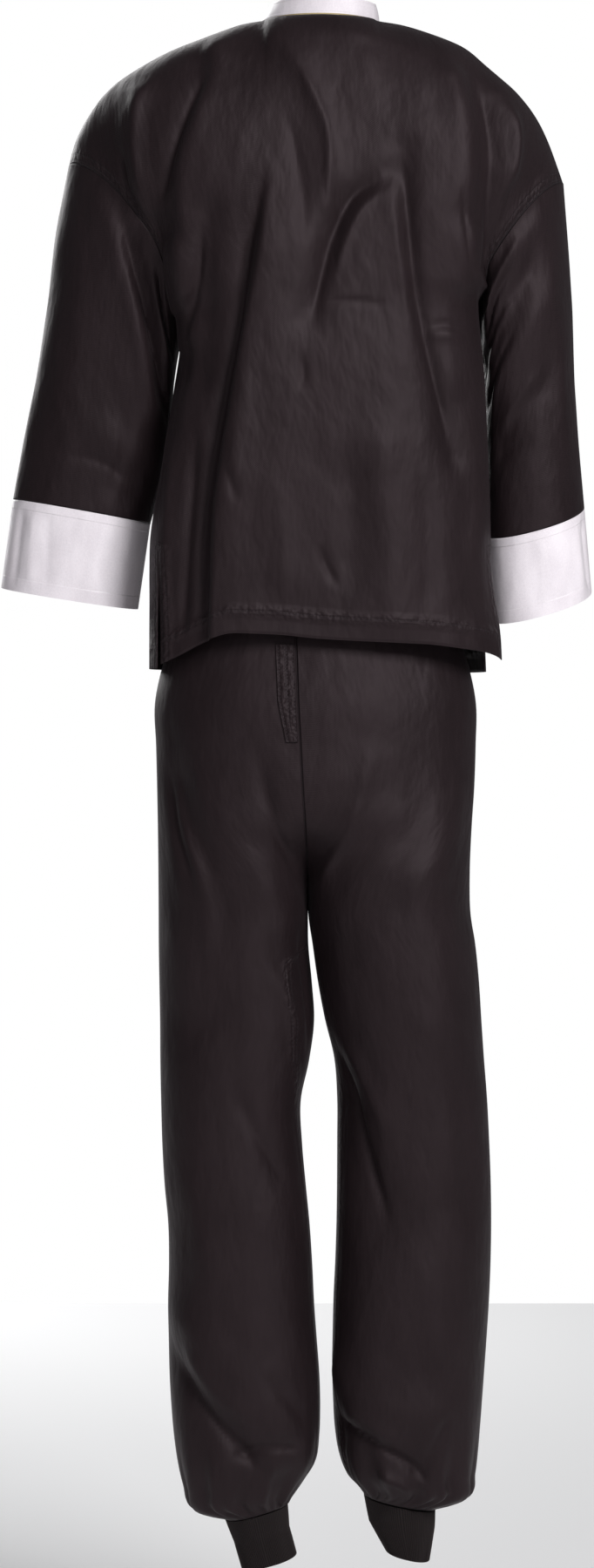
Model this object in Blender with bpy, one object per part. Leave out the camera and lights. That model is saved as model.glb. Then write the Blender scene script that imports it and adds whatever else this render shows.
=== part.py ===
"""A worn tai chi uniform: a loose jacket with white collar and cuffs, and trousers gathered at the ankle.

Run with: blender --background --python part.py

Frame: +Z up, metres. The back of the garment faces +Y and the wearer's left is +X.
The origin is the middle of the neck opening, level with the nape, where the wearer's shoulders hold it.
Tables are in millimetres. Each cut piece is a wall between an outer surface and the same surface moved in.
"""

import math
from typing import NamedTuple

import bmesh
import bpy
import numpy as np

MM = 0.001

# Driving dimensions, in millimetres
CLOTH = 1.6
CUFF_CLOTH = 1.8
COLLAR_CLOTH = 2.4
RIB_CLOTH = 2.0
SEAM_GAP = 0.5
SLEEVE_CLEARANCE = 5.0
SLEEVE_REACH = 28.0
ARMHOLE_STAND_OFF = 3.0
ARMHOLE_FLARE = 0.25
ARMHOLE_BLEND = 130.0
FOLD_AGREEMENT = 0.85
SURFACE_LIFT = 1.0
COLLAR_HEIGHT = 17.5
COLLAR_LEAN = 9.0
COLLAR_FRONT_EXTRA = 7.0
COLLAR_SHIFT = 6.0
COLLAR_CORNER = 5.0
WAISTBAND_HEIGHT = 36.0
RIB_RAISE = 0.8
RIBS_ROUND_ANKLE = 56
FROG_COUNT = 7
FROG_BAR_LENGTH = 46.0
FROG_BAR_WIDTH = 7.0
FROG_BAR_THICK = 2.6
FROG_BAR_TAPER = 0.8
FROG_BAR_CELLS = 3
FROG_KNOT_RADIUS = 6.0
FROG_FIRST_DROP = 16.0
FROG_LAST_Z = -470.0

# Mesh counts
BODY_LOW_ROWS = 11
BODY_TOP_ROWS = 12
BACK_COLUMNS = 32
SHOULDER_COLUMNS = 11
FRONT_COLUMNS = 15
SLEEVE_ROWS = 13
CUFF_ROWS = 2
LEG_ROWS = 18
HIP_ROWS = 9
PANEL_COLUMNS = 10
SKIN_STEPS = 5


class TorsoRow(NamedTuple):
    """One level section of the jacket below the armholes."""

    z: float
    left: float
    right: float
    back: float
    front: float


class SleeveRow(NamedTuple):
    """One section of a sleeve: its outer and inner edge as seen from behind, and its depth."""

    outer_x: float
    outer_z: float
    inner_x: float
    inner_z: float
    middle_y: float
    half_depth: float
    bow: float
    pitch: float


class LegRow(NamedTuple):
    """One level section of a trouser leg."""

    z: float
    outer: float
    inner: float
    middle_y: float
    half_depth: float
    slant: float


class HipRow(NamedTuple):
    """One level section of the trousers above the crotch."""

    z: float
    left: float
    right: float
    seam: float
    back: float
    front: float


class Fold(NamedTuple):
    """A soft ridge, or a valley where height is below 0, along a route on the cloth."""

    route: tuple
    width: float
    height: float


class Step(NamedTuple):
    """A lap of cloth: the side towards -X of the route stands out over the other."""

    route: tuple
    width: float
    height: float
    reach: float


# Jacket sections, hem first
TORSO = (
    TorsoRow(-606, 161, 168, 105, -117),
    TorsoRow(-560, 161, 166, 107, -116),
    TorsoRow(-505, 162, 165, 109, -115),
    TorsoRow(-480, 160, 165, 110, -114),
    TorsoRow(-440, 152, 164, 112, -113),
    TorsoRow(-380, 142, 162, 114, -112),
    TorsoRow(-330, 137, 158, 115, -112),
    TorsoRow(-285, 134, 153, 115, -112),
)
WIDEST_Y = 30.0
BACK_POWER = 2.6
FRONT_POWER = 2.15

# Where the side seams lie round the section, in degrees behind the widest point
SIDE_SEAM_TOP = -14.0
SIDE_SEAM_LOW_LEFT = 22.0
SIDE_SEAM_LOW_RIGHT = 3.0
SIDE_SEAM_LOW_Z = -520.0
SLIT_TOP_Z = -519.0

# How far the slit edges stand out at the hem: right edge of the back, and so on
BACK_SPREAD_RIGHT = 8.0
BACK_SPREAD_LEFT = -2.0
FRONT_SPREAD_LEFT = 1.5
FRONT_SPREAD_RIGHT = -8.0

UNDERARM_LEFT_Z = -294.0
UNDERARM_RIGHT_Z = -277.0

# Shoulder line from the neck to the tip of the armhole seam: x and z, left then right
SHOULDER_LEFT = (
    (53, -6), (58, -3), (66, -6), (88, -14), (124, -27), (146, -35), (175, -51), (200, -67),
    (214, -82), (225, -99), (233.5, -116), (239, -133), (240.5, -141),
)
SHOULDER_RIGHT = (
    (-57, -6), (-62, -3.5), (-72, -7), (-98, -14.5), (-134, -27), (-149, -35), (-165, -50),
    (-184, -67), (-200, -82), (-212.5, -99), (-221, -116), (-228, -133), (-233.5, -149), (-237, -159),
)
SHOULDER_Y = -4.0

# Neck seam
NECK_BACK_Y = 58.0
NECK_BACK_Z = -7.0
NECK_FRONT_Y = -62.0
NECK_FRONT_Z = -52.0

# Hem height added to the lowest torso row: place across from the right seam (0) to the left (1)
BACK_HEM = (
    (0.0, -13), (0.1, -6), (0.25, 0), (0.45, 3), (0.55, 5), (0.65, 9), (0.78, 11),
    (0.86, 2), (0.93, -9), (1.0, -18),
)
FRONT_HEM = ((0.0, -22), (0.3, -20), (1.0, -24))

LEFT_SLEEVE = (
    SleeveRow(240.5, -141, 134, -294, 0, 62, 24, 0),
    SleeveRow(254, -205, 138, -331, -14, 60, 18, 0),
    SleeveRow(261.5, -270, 141, -369, -22, 57, 10, 0),
    SleeveRow(272.5, -340, 145, -408, -28, 54, 4, 0),
    SleeveRow(285.5, -402, 152, -446, -33, 51, 0, 0),
    SleeveRow(296.5, -461, 163, -485, -38, 49, 0, 1),
    SleeveRow(308.5, -546, 175, -567, -44, 48, 0, 4),
)
RIGHT_SLEEVE = (
    SleeveRow(-237, -159, -154, -277, -2, 65, 14, 0),
    SleeveRow(-243, -225, -158, -318, -16, 65, 10, 3),
    SleeveRow(-247, -281, -161, -359, -24, 64, 6, 6),
    SleeveRow(-249, -342, -159, -400, -30, 61, 4, 9),
    SleeveRow(-253.5, -405, -159, -446, -36, 59, 0, 12),
    SleeveRow(-259.5, -467, -160, -494, -42, 57, 0, 14),
    SleeveRow(-267, -549, -166, -577, -48, 56, 0, 13),
)
SLEEVE_POWER = 2.2

# Folds on the jacket back, in x and z
BACK_FOLDS = (
    Fold(((106, -60), (134, -140), (140, -215)), 16, -8),
    Fold(((97, -50), (122, -125), (133, -172), (133, -250), (126, -310)), 14, 8),
    Fold(((172, -85), (180, -125), (170, -190)), 13, 6),
    Fold(((106, -200), (112, -270), (116, -350)), 17, -7),
    Fold(((38, -34), (12, -72), (-7, -125), (-7, -194)), 15, 4),
    Fold(((-66, -163), (-22, -194), (0, -266), (9, -300)), 15, -5),
    Fold(((-79, -140), (-84, -219), (-98, -298), (-114, -370), (-129, -428)), 14, -5),
    Fold(((-146, -60), (-157, -119), (-157, -165), (-150, -200)), 15, -8),
    Fold(((-130, -70), (-140, -130), (-140, -200), (-134, -260)), 15, 6),
    Fold(((-175, -85), (-186, -122), (-182, -155)), 14, 5),
    Fold(((-60, -420), (-66, -500), (-72, -580)), 20, 4),
    Fold(((-135, -380), (-140, -470), (-150, -560)), 16, -5),
)
BACK_STEPS = (
    Step(((46, -150), (62, -250), (81, -360), (94, -440), (100, -492), (104, -640)), 11, 14, 62),
)
# Folds on the fronts, in x and z: plain hanging folds from the shoulder and the armhole
FRONT_FOLDS = (
    Fold(((96, -70), (120, -150), (128, -240)), 20, -7),
    Fold(((80, -80), (96, -200), (104, -330), (110, -460)), 17, 7),
    Fold(((118, -250), (108, -360), (100, -520)), 15, -6),
    Fold(((45, -90), (52, -230), (60, -400), (62, -560)), 18, 4),
    Fold(((-98, -70), (-122, -150), (-130, -230)), 20, -7),
    Fold(((-84, -90), (-100, -210), (-112, -350), (-118, -470)), 17, 7),
    Fold(((-134, -240), (-124, -350), (-112, -520)), 15, -6),
    Fold(((-42, -80), (-46, -220), (-58, -390), (-64, -540)), 18, 5),
)
# Folds on the sleeves: angle round in degrees (0 outer, 90 back, 180 inner) and share of the length
LEFT_SLEEVE_FOLDS = (
    Fold(((52, 0.03), (92, 0.22), (135, 0.50)), 15, 6),
    Fold(((78, 0.03), (112, 0.20), (150, 0.42)), 13, -7),
    Fold(((120, 0.18), (140, 0.55), (128, 0.95)), 16, -4),
    Fold(((250, 0.05), (235, 0.30), (215, 0.55)), 16, -6),
    Fold(((300, 0.06), (275, 0.30), (245, 0.62)), 16, 5),
    Fold(((60, 0.60), (100, 0.72), (150, 0.70)), 14, 3),
)
RIGHT_SLEEVE_FOLDS = (
    Fold(((60, 0.04), (95, 0.10), (140, 0.20)), 14, 6),
    Fold(((75, 0.16), (112, 0.20), (160, 0.30)), 12, -7),
    Fold(((60, 0.30), (105, 0.36), (160, 0.46)), 15, 4),
    Fold(((70, 0.56), (95, 0.58), (125, 0.66)), 12, -4),
    Fold(((250, 0.06), (230, 0.30), (210, 0.52)), 16, -6),
    Fold(((300, 0.08), (270, 0.32), (240, 0.60)), 16, 5),
)

# Trouser legs, crotch first: outer and inner edge
LEFT_LEG = (
    LegRow(-860, 153.7, 9.9, 0, 90, 0),
    LegRow(-905, 153.5, 9, 0, 88, 0),
    LegRow(-950, 152.5, 3, 0, 86, 0),
    LegRow(-985, 152, 4.5, 1, 84, 0),
    LegRow(-1020, 152, 12, 2, 82, 0),
    LegRow(-1050, 151, 18, 2, 80, 0),
    LegRow(-1105, 149.5, 13.5, 3, 78, 0),
    LegRow(-1175, 143, 6.7, 4, 76, 0),
    LegRow(-1240, 144.5, 3.5, 5, 74, 0),
    LegRow(-1310, 142.8, -1.7, 6, 72, 0),
    LegRow(-1355, 140, -2.5, 6, 71, 0),
    LegRow(-1393, 134.5, 2.5, 7, 68, 1),
    LegRow(-1412, 129, 15, 7, 62, 4),
    LegRow(-1428, 121, 23, 7, 54, 8),
    LegRow(-1433, 107, 27, 7, 48, 10),
    LegRow(-1436, 89, 29.5, 7, 42, 7.5),
)
RIGHT_LEG = (
    LegRow(-860, -147, 9.4, 0, 90, 0),
    LegRow(-905, -153.7, 3.4, 0, 88, 0),
    LegRow(-940, -156.2, -1.7, 0, 87, 0),
    LegRow(-972, -158, -8.4, 1, 85, 0),
    LegRow(-1006, -160.4, -16.8, 1, 83, 0),
    LegRow(-1040, -163, -18.5, 2, 81, 0),
    LegRow(-1105, -166.3, -18.5, 3, 79, 0),
    LegRow(-1175, -167.2, -17.6, 4, 77, 0),
    LegRow(-1240, -164.6, -14.5, 5, 75, 0),
    LegRow(-1310, -159.6, -13.4, 6, 73, 0),
    LegRow(-1355, -156.2, -16, 6, 71, 0),
    LegRow(-1393, -153, -22, 7, 68, 0),
    LegRow(-1408, -150, -33, 7, 62, 2),
    LegRow(-1419, -146, -40, 7, 54, 6),
    LegRow(-1424, -134, -43, 7, 48, 9),
    LegRow(-1427, -112.5, -44.5, 7, 42, 7.5),
)
LEG_POWER = 2.3
HIPS = (
    HipRow(-500, 120, -116, 22, 80, -80),
    HipRow(-540, 128, -124, 22, 83, -83),
    HipRow(-580, 136, -132, 22, 86, -87),
    HipRow(-612, 145.5, -142, 21, 88, -88),
    HipRow(-632, 154.1, -148, 20, 93, -90),
    HipRow(-646, 157.3, -152.3, 20, 97, -94),
    HipRow(-665, 157.3, -152.5, 19, 99, -95),
    HipRow(-720, 155.5, -152, 16, 100, -95),
    HipRow(-780, 154.6, -148.5, 13, 99, -95),
    HipRow(-820, 154.6, -145.5, 11, 96, -93),
    HipRow(-860, 153.7, -147, 9.7, 90, -90),
)
HIP_POWER = 2.35
CROTCH_BLEND = 110.0
SEAT_FULLNESS = 0.11

# Folds on the trousers: angle round (0 outer, 90 back, 180 inner, 270 front) and z
LEFT_LEG_FOLDS = (
    Fold(((70, -740), (82, -830), (72, -925), (62, -965)), 24, -6),
    Fold(((100, -700), (115, -790), (128, -870)), 26, 4),
    Fold(((75, -960), (95, -1040), (120, -1100)), 26, -4),
    Fold(((30, -1290), (70, -1345), (110, -1400)), 22, -6),
    Fold(((45, -1250), (90, -1310), (130, -1370)), 22, 5),
    Fold(((290, -900), (275, -1050), (270, -1180)), 26, 4),
    Fold(((250, -1310), (275, -1360), (310, -1400)), 22, -5),
)
RIGHT_LEG_FOLDS = (
    Fold(((70, -760), (78, -860), (66, -960)), 26, 5),
    Fold(((148, -1040), (128, -1110), (112, -1160)), 24, -6),
    Fold(((170, -1350), (130, -1372), (90, -1384), (60, -1400)), 20, -5),
    Fold(((160, -1300), (110, -1330), (70, -1340)), 20, 4),
    Fold(((285, -900), (275, -1050), (265, -1180)), 26, 4),
    Fold(((245, -1310), (270, -1360), (300, -1400)), 22, -5),
)
ANKLE_CROWDING = 0.72
ANKLE_GATHERS = 10
ANKLE_GATHER_HEIGHT = 2.6
ANKLE_GATHER_REACH = 60.0
WAIST_GATHERS = 10
WAIST_GATHER_HEIGHT = 1.8

# Ankle ribs: outer and inner edge at the top and the bottom, and their heights
LEFT_RIB = (
    LegRow(-1437.0, 89.0, 29.5, 7, 41.0, 7.5),
    LegRow(-1459, 80.0, 28.5, 6, 37, 7),
    LegRow(-1485, 73.0, 21.0, 5, 37, 7),
)
RIGHT_RIB = (
    LegRow(-1428.5, -112.5, -44.5, 7, 41.0, 7.5),
    LegRow(-1449, -111.5, -50.0, 6, 37, 3),
    LegRow(-1479, -107.0, -65.5, 5, 37, 4.5),
)

# The sewn strip along the centre-back seam: z, half-width, and its middle left of the seam
SEAT_TAPE = ((-606, 8.5, 10.5), (-660, 8.4, 10.2), (-698, 5.6, 7.4))
SEAT_TAPE_THICK = 1.2

BLACK = (0.030, 0.024, 0.027, 1.0)
WHITE = (0.84, 0.79, 0.82, 1.0)
RIB_BLACK = (0.017, 0.013, 0.014, 1.0)


def clear_scene():
    """Remove every object the scene starts with."""
    for obj in list(bpy.data.objects):
        bpy.data.objects.remove(obj, do_unlink=True)


def cloth_material(name, colour, roughness):
    """A plain cloth finish."""
    material = bpy.data.materials.new(name)
    material.use_nodes = True
    shader = material.node_tree.nodes["Principled BSDF"]
    shader.inputs["Base Color"].default_value = colour
    shader.inputs["Roughness"].default_value = roughness
    shader.inputs["Metallic"].default_value = 0.0
    return material


def unit(vectors):
    """Vectors at length 1."""
    length = np.linalg.norm(vectors, axis=-1, keepdims=True)
    return vectors / np.maximum(length, 1e-9)


def smooth(value):
    """0 to 1 with level ends."""
    value = np.clip(value, 0.0, 1.0)
    return value * value * (3 - 2 * value)


def column(rows, name, at, key="z"):
    """Read one named column of a table at other heights."""
    keys = np.array([getattr(row, key) for row in rows], float)
    values = np.array([getattr(row, name) for row in rows], float)
    order = np.argsort(keys)
    return np.interp(at, keys[order], values[order])


def along(points, count):
    """Points evenly spaced by length along a dense line."""
    length = np.r_[0, np.cumsum(np.linalg.norm(np.diff(points, axis=0), axis=1))]
    wanted = np.linspace(0, length[-1], count)
    return np.stack([np.interp(wanted, length, points[:, k]) for k in range(3)], axis=1)


def power_circle(angle, power):
    """Cosine and sine of a superellipse, with its sides fuller as power grows."""
    cos, sin = np.cos(angle), np.sin(angle)
    return (
        np.sign(cos) * np.abs(cos) ** (2 / power),
        np.sign(sin) * np.abs(sin) ** (2 / power),
    )


def fold_height(first, second, folds):
    """Sum of the folds' heights at places (first, second)."""
    total = np.zeros_like(first, float)
    for fold in folds:
        total += fold.height * np.exp(-((route_distance(first, second, fold.route) / fold.width) ** 2))
    return total


def route_distance(first, second, route):
    """Distance from places to a route of straight stretches."""
    nearest = np.full_like(first, 1e9, dtype=float)
    for (ax, ay), (bx, by) in zip(route, route[1:]):
        dx, dy = bx - ax, by - ay
        share = np.clip(((first - ax) * dx + (second - ay) * dy) / (dx * dx + dy * dy), 0, 1)
        nearest = np.minimum(nearest, np.hypot(first - ax - share * dx, second - ay - share * dy))
    return nearest


def step_height(x, z, steps):
    """How far each lap raises the cloth on its -X side and lets it fall on the other."""
    total = np.zeros_like(x, float)
    for step in steps:
        heights = np.array([point[1] for point in step.route])
        places = np.array([point[0] for point in step.route])
        inward = np.interp(z, heights[::-1], places[::-1]) - x
        fade = np.exp(-((inward / step.reach) ** 2)) * smooth((heights[0] - z) / 90.0)
        total += step.height * (np.tanh(inward / step.width) * 0.5 + 0.1) * fade
    return total


def torso_point(z, angle):
    """Jacket section below the armholes: angle 0 is the left side and 90 the middle of the back."""
    cos = np.cos(angle)
    sin = np.sin(angle)
    power = np.where(sin >= 0, BACK_POWER, FRONT_POWER)
    across = np.sign(cos) * np.abs(cos) ** (2 / power)
    deep = np.abs(sin) ** (2 / power)
    half = np.where(cos >= 0, column(TORSO, "left", z), column(TORSO, "right", z))
    back = column(TORSO, "back", z) - WIDEST_Y
    front = column(TORSO, "front", z) - WIDEST_Y
    y = WIDEST_Y + deep * np.where(sin >= 0, back, front)
    return np.stack([across * half, y, z + 0 * angle], axis=-1)


def seam_angle(z, low, top_z):
    """How far behind the widest point a side seam lies at height z, in radians."""
    share = smooth((top_z - z) / (top_z - SIDE_SEAM_LOW_Z))
    return math.radians(SIDE_SEAM_TOP + (low - SIDE_SEAM_TOP) * share)


def torso_row(z, back, columns):
    """One row of the back from the right seam to the left, or of the fronts from left to right."""
    left = seam_angle(z, SIDE_SEAM_LOW_LEFT, UNDERARM_LEFT_Z)
    right = math.pi - seam_angle(z, SIDE_SEAM_LOW_RIGHT, UNDERARM_RIGHT_Z)
    if back:
        angle = np.linspace(right, left, 400)
        return along(torso_point(np.full_like(angle, z), angle), columns + 1)
    centre = -math.pi / 2
    halves = []
    for start, end in ((left, centre), (centre, right - 2 * math.pi)):
        angle = np.linspace(start, end, 300)
        halves.append(along(torso_point(np.full_like(angle, z), angle), columns // 2 + 1))
    return np.concatenate([halves[0], halves[1][1:]])


def sleeve_rings(rows, stations, angle):
    """Sleeve sections at stations from 0, the armhole, to the last row; angle 0 is the outer edge."""
    places = np.arange(len(rows))

    def read(name):
        return np.interp(stations, places, [getattr(row, name) for row in rows])[:, None]

    outer = np.concatenate([read("outer_x"), 0 * read("outer_x"), read("outer_z")], axis=1)
    inner = np.concatenate([read("inner_x"), 0 * read("inner_x"), read("inner_z")], axis=1)
    middle = (outer + inner) / 2 + np.concatenate(
        [0 * read("bow"), read("middle_y"), 0 * read("bow")], axis=1
    )
    across = (outer - inner) / 2
    turn = np.stack([-across[:, 2], 0 * across[:, 0], across[:, 0]], axis=1)
    turn = unit(turn) * np.sign(across[:, :1])
    cos, sin = power_circle(angle, SLEEVE_POWER)
    deep = np.array([0.0, 1.0, 0.0])
    return (
        middle[:, None]
        + across[:, None] * cos[None, :, None]
        + deep * (read("half_depth") * sin[None])[..., None]
        - np.array([0.0, 0.0, 1.0]) * (read("pitch") * sin[None])[..., None]
        + turn[:, None] * (read("bow") * np.abs(sin[None]) ** 1.5)[..., None]
    )


def armhole(rows, underarm, tip):
    """Armhole seam from the underarm up the back to the tip, then the same up the front."""
    halves = []
    for side in (1, -1):
        angle = np.linspace(math.pi, 0, 300) * side
        line = sleeve_rings(rows, np.zeros(1), angle)[0]
        share = np.linspace(0, 1, 300)[:, None]
        line += (underarm - line[0]) * (1 - share) ** 2 + (tip - line[-1]) * share**2
        way = math.copysign(1.0, tip[0])
        rise = line[:, 2] - underarm[2]
        wanted = side_reach(line[:, 1], underarm[2], way > 0) + ARMHOLE_STAND_OFF
        wanted += ARMHOLE_FLARE * np.maximum(rise, 0)
        short = np.maximum(wanted - way * line[:, 0], 0) * np.minimum(share[:, 0] * 10, 1)
        line[:, 0] += way * short * (1 - smooth(rise / ARMHOLE_BLEND))
        halves.append(along(line, BODY_TOP_ROWS + 1))
    return halves


def side_reach(y, z, left):
    """How far out the jacket's side lies at depth y on the section at height z."""
    half = column(TORSO, "left" if left else "right", z)
    depth = np.where(y > WIDEST_Y, column(TORSO, "back", z), column(TORSO, "front", z)) - WIDEST_Y
    power = np.where(y > WIDEST_Y, BACK_POWER, FRONT_POWER)
    share = np.clip((y - WIDEST_Y) / depth, 0, 1)
    return half * (1 - share**power) ** (1 / power)


def shoulder_line(points):
    """The ridge from the neck to the armhole's tip."""
    table = np.array(points, float)
    dense = np.linspace(0, len(table) - 1, 200)
    x = np.interp(dense, range(len(table)), table[:, 0])
    z = np.interp(dense, range(len(table)), table[:, 1])
    return np.stack([x, np.full_like(x, SHOULDER_Y), z], axis=1)


def neck_line(back):
    """The neck seam from the right shoulder to the left round the back, or on round the front."""
    right, left = SHOULDER_RIGHT[0], SHOULDER_LEFT[0]
    middle_x = (right[0] + left[0]) / 2
    half = (left[0] - right[0]) / 2
    depth = (NECK_BACK_Y if back else NECK_FRONT_Y) - SHOULDER_Y
    low = NECK_BACK_Z if back else NECK_FRONT_Z
    angle = np.linspace(math.pi, 0, 200) if back else np.linspace(0, math.pi, 200)
    side_z = np.where(np.cos(angle) > 0, left[1], right[1])
    drop = np.sin(angle) ** (1.0 if back else 1.6)
    return np.stack(
        [
            middle_x + half * np.cos(angle),
            SHOULDER_Y + depth * np.sin(angle),
            side_z * (1 - drop) + low * drop,
        ],
        axis=1,
    )


def blend_rows(low_row, top_row, right_edge, left_edge, power):
    """Rows from the underarm level to the shoulder and neck, held to the armhole seams at both ends."""
    count = len(right_edge)
    place = np.linspace(-1, 1, len(low_row))
    middle = len(low_row) // 2
    depth = abs(low_row[middle, 1] - top_row[middle, 1]) + 30
    height = abs(top_row[middle, 2] - low_row[middle, 2])
    dense = np.linspace(0, math.pi / 2, 400)
    cos, sin = power_circle(dense, power)
    line = np.stack([depth * cos, height * sin, 0 * cos], axis=1)
    length = np.r_[0, np.cumsum(np.linalg.norm(np.diff(line, axis=0), axis=1))]
    turn = np.interp(np.linspace(0, length[-1], count), length, dense)
    cos, sin = power_circle(turn, power)
    share = np.stack([sin**1.5, 1 - cos, sin], axis=1)[:, None]
    rows = low_row[None] * (1 - share) + top_row[None] * share
    pull_left = np.clip(place, 0, 1)[None, :, None] ** 1.6
    pull_right = np.clip(-place, 0, 1)[None, :, None] ** 1.6
    rows += (left_edge - rows[:, -1])[:, None] * pull_left
    rows += (right_edge - rows[:, 0])[:, None] * pull_right
    return rows


def hem_drop(points, table, weight):
    """Points with the hem's own line added, fading out upwards by weight."""
    place = np.linspace(0, 1, points.shape[1])
    drop = np.interp(place, [row[0] for row in table], [row[1] for row in table])
    points = points.copy()
    points[..., 2] += drop[None] * weight[:, None]
    return points


def grid_normals(points):
    """Outward normals of one grid, from its own rows and columns."""
    across = np.gradient(points, axis=1)
    up = np.gradient(points, axis=0)
    return unit(np.cross(across, up))


def displace(points, heights):
    """Move a grid along its own normals."""
    return points + grid_normals(points) * heights[..., None]


def edge_fade(shape, sides, top, count=2.2):
    """1 inside a panel, falling to 0 at its side and top edges so that seams still meet."""
    rows, columns = shape
    i, j = np.mgrid[0:rows, 0:columns]
    fade = np.ones(shape)
    if sides:
        fade *= smooth(j / count) * smooth((columns - 1 - j) / count)
    if top:
        fade *= smooth((rows - 1 - i) / count)
    return fade


def jacket_body():
    """Grids of the back and the two fronts, outer side, with both armhole seams."""
    left_top = torso_point(np.array([UNDERARM_LEFT_Z]), np.array([math.radians(SIDE_SEAM_TOP)]))[0]
    right_top = torso_point(
        np.array([UNDERARM_RIGHT_Z]), np.array([math.pi - math.radians(SIDE_SEAM_TOP)])
    )[0]
    ridge_left = shoulder_line(SHOULDER_LEFT)
    ridge_right = shoulder_line(SHOULDER_RIGHT)
    left_back, left_front = armhole(LEFT_SLEEVE, left_top, ridge_left[-1])
    right_back, right_front = armhole(RIGHT_SLEEVE, right_top, ridge_right[-1])

    neck_columns = BACK_COLUMNS - 2 * SHOULDER_COLUMNS
    top_back = np.concatenate(
        [
            along(ridge_right[::-1], SHOULDER_COLUMNS + 1)[:-1],
            along(neck_line(True), neck_columns + 1),
            along(ridge_left, SHOULDER_COLUMNS + 1)[1:],
        ]
    )
    back = body_part(True, BACK_COLUMNS, top_back, (right_back, left_back), (right_top, left_top), 3.2)
    neck_front = neck_line(False)
    top_front = np.concatenate(
        [
            along(ridge_left[::-1], SHOULDER_COLUMNS + 1)[:-1],
            along(neck_front[:100], neck_cells() + 1),
            along(neck_front[100:], neck_cells() + 1)[1:],
            along(ridge_right, SHOULDER_COLUMNS + 1)[1:],
        ]
    )
    front = body_part(
        False, 2 * FRONT_COLUMNS, top_front, (left_front, right_front), (left_top, right_top), 2.6
    )
    return back, front, (left_back, left_front), (right_back, right_front)


def body_part(back, columns, top_row, edges, underarms, power):
    """The back, or both fronts as one grid, from the hem to the shoulder."""
    first_z, last_z = underarms[0][2], underarms[1][2]
    hem_z = TORSO[0].z
    place = np.linspace(0, 1, columns + 1)
    share = np.linspace(0, 1, BODY_LOW_ROWS + 1)
    rows = []
    for part in share:
        low = torso_row(hem_z + (first_z - hem_z) * part, back, columns)
        high = torso_row(hem_z + (last_z - hem_z) * part, back, columns)
        mix = place[:, None]
        rows.append(low * (1 - mix) + high * mix)
    rows = np.array(rows)
    table = BACK_HEM if back else FRONT_HEM
    rows = hem_drop(rows, table, (1 - share) ** 1.5)
    upper = blend_rows(rows[-1], top_row, edges[0], edges[1], power)
    points = np.concatenate([rows, upper[1:]])
    if back:
        heights = fold_height(points[..., 0], points[..., 2], BACK_FOLDS)
        heights += step_height(points[..., 0], points[..., 2], BACK_STEPS)
    else:
        heights = fold_height(points[..., 0], points[..., 2], FRONT_FOLDS)
    points = displace(points, heights * edge_fade(heights.shape, True, True))
    if back:
        return open_slits(points, BACK_SPREAD_RIGHT, BACK_SPREAD_LEFT)
    return open_slits(points, FRONT_SPREAD_LEFT, FRONT_SPREAD_RIGHT)


def open_slits(grid, first, last):
    """A grid with its side edges below the slits moved out by these amounts at the hem."""
    depth = smooth((SLIT_TOP_Z - grid[..., 2]) / (SLIT_TOP_Z - TORSO[0].z))
    place = np.arange(grid.shape[1])
    near_first = np.maximum(1 - place / 5.0, 0)[None]
    near_last = np.maximum(1 - (place[-1] - place) / 5.0, 0)[None]
    spread = depth * (near_first * first + near_last * last)
    outward = unit((grid - grid.mean(axis=1, keepdims=True)) * np.array([1, 0.35, 0]))
    return grid + outward * spread[..., None]


def sleeve_grid(rows, seam_halves, folds, last):
    """Grid of a sleeve: rows from the armhole down, columns round from the underarm."""
    back, front = seam_halves
    loop = np.concatenate([back, front[::-1][1:]])
    around = 2 * BODY_TOP_ROWS
    angle = np.linspace(math.pi, -math.pi, around + 1)
    stations = np.linspace(0, last, SLEEVE_ROWS + 1)
    points = sleeve_rings(rows, stations, angle)
    fade = (1 - smooth(stations / 1.6))[:, None, None]
    points += (loop - points[0])[None] * fade
    degrees = np.degrees(angle) % 360
    share = stations / last
    a, t = np.meshgrid(degrees, share)
    heights = fold_height(a, t * 180.0, tuple(scaled(fold, 180.0) for fold in folds))
    heights *= smooth(t * 5) * smooth((1 - t) * 5)
    outward = unit(points - points.mean(axis=1, keepdims=True))
    points += outward * heights[..., None]
    points[:, -1] = points[:, 0]
    return points


def keep_clear(sleeve, bodies):
    """The sleeve's rows pushed off the body wherever they come nearer than they should."""
    places, normals = [], []
    for body in bodies:
        fine = refine(refine(body, SKIN_STEPS).transpose(1, 0, 2), SKIN_STEPS)
        places.append(fine.reshape(-1, 3))
        normals.append(grid_normals(fine).reshape(-1, 3))
    places, normals = np.concatenate(places), np.concatenate(normals)
    moved = sleeve.copy()
    for i in range(1, len(sleeve)):
        wanted = SLEEVE_CLEARANCE * min(1.0, i / 2.0)
        for j in range(sleeve.shape[1] - 1):
            offset = moved[i, j] - places
            nearest = np.argmin((offset**2).sum(axis=1))
            height = float(offset[nearest] @ normals[nearest])
            distance = float(np.linalg.norm(offset[nearest]))
            beyond_edge = distance > SLEEVE_CLEARANCE * 1.6 and abs(height) < distance / 2
            if distance < SLEEVE_REACH and height < wanted and not beyond_edge:
                moved[i, j] += normals[nearest] * (wanted - height)
    moved[:, -1] = moved[:, 0]
    return moved


def refine(grid, steps):
    """Rows added between a grid's rows."""
    dense = np.linspace(0, len(grid) - 1, (len(grid) - 1) * steps + 1)
    low = np.minimum(dense.astype(int), len(grid) - 2)
    share = (dense - low)[:, None, None]
    return grid[low] * (1 - share) + grid[low + 1] * share


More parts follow.
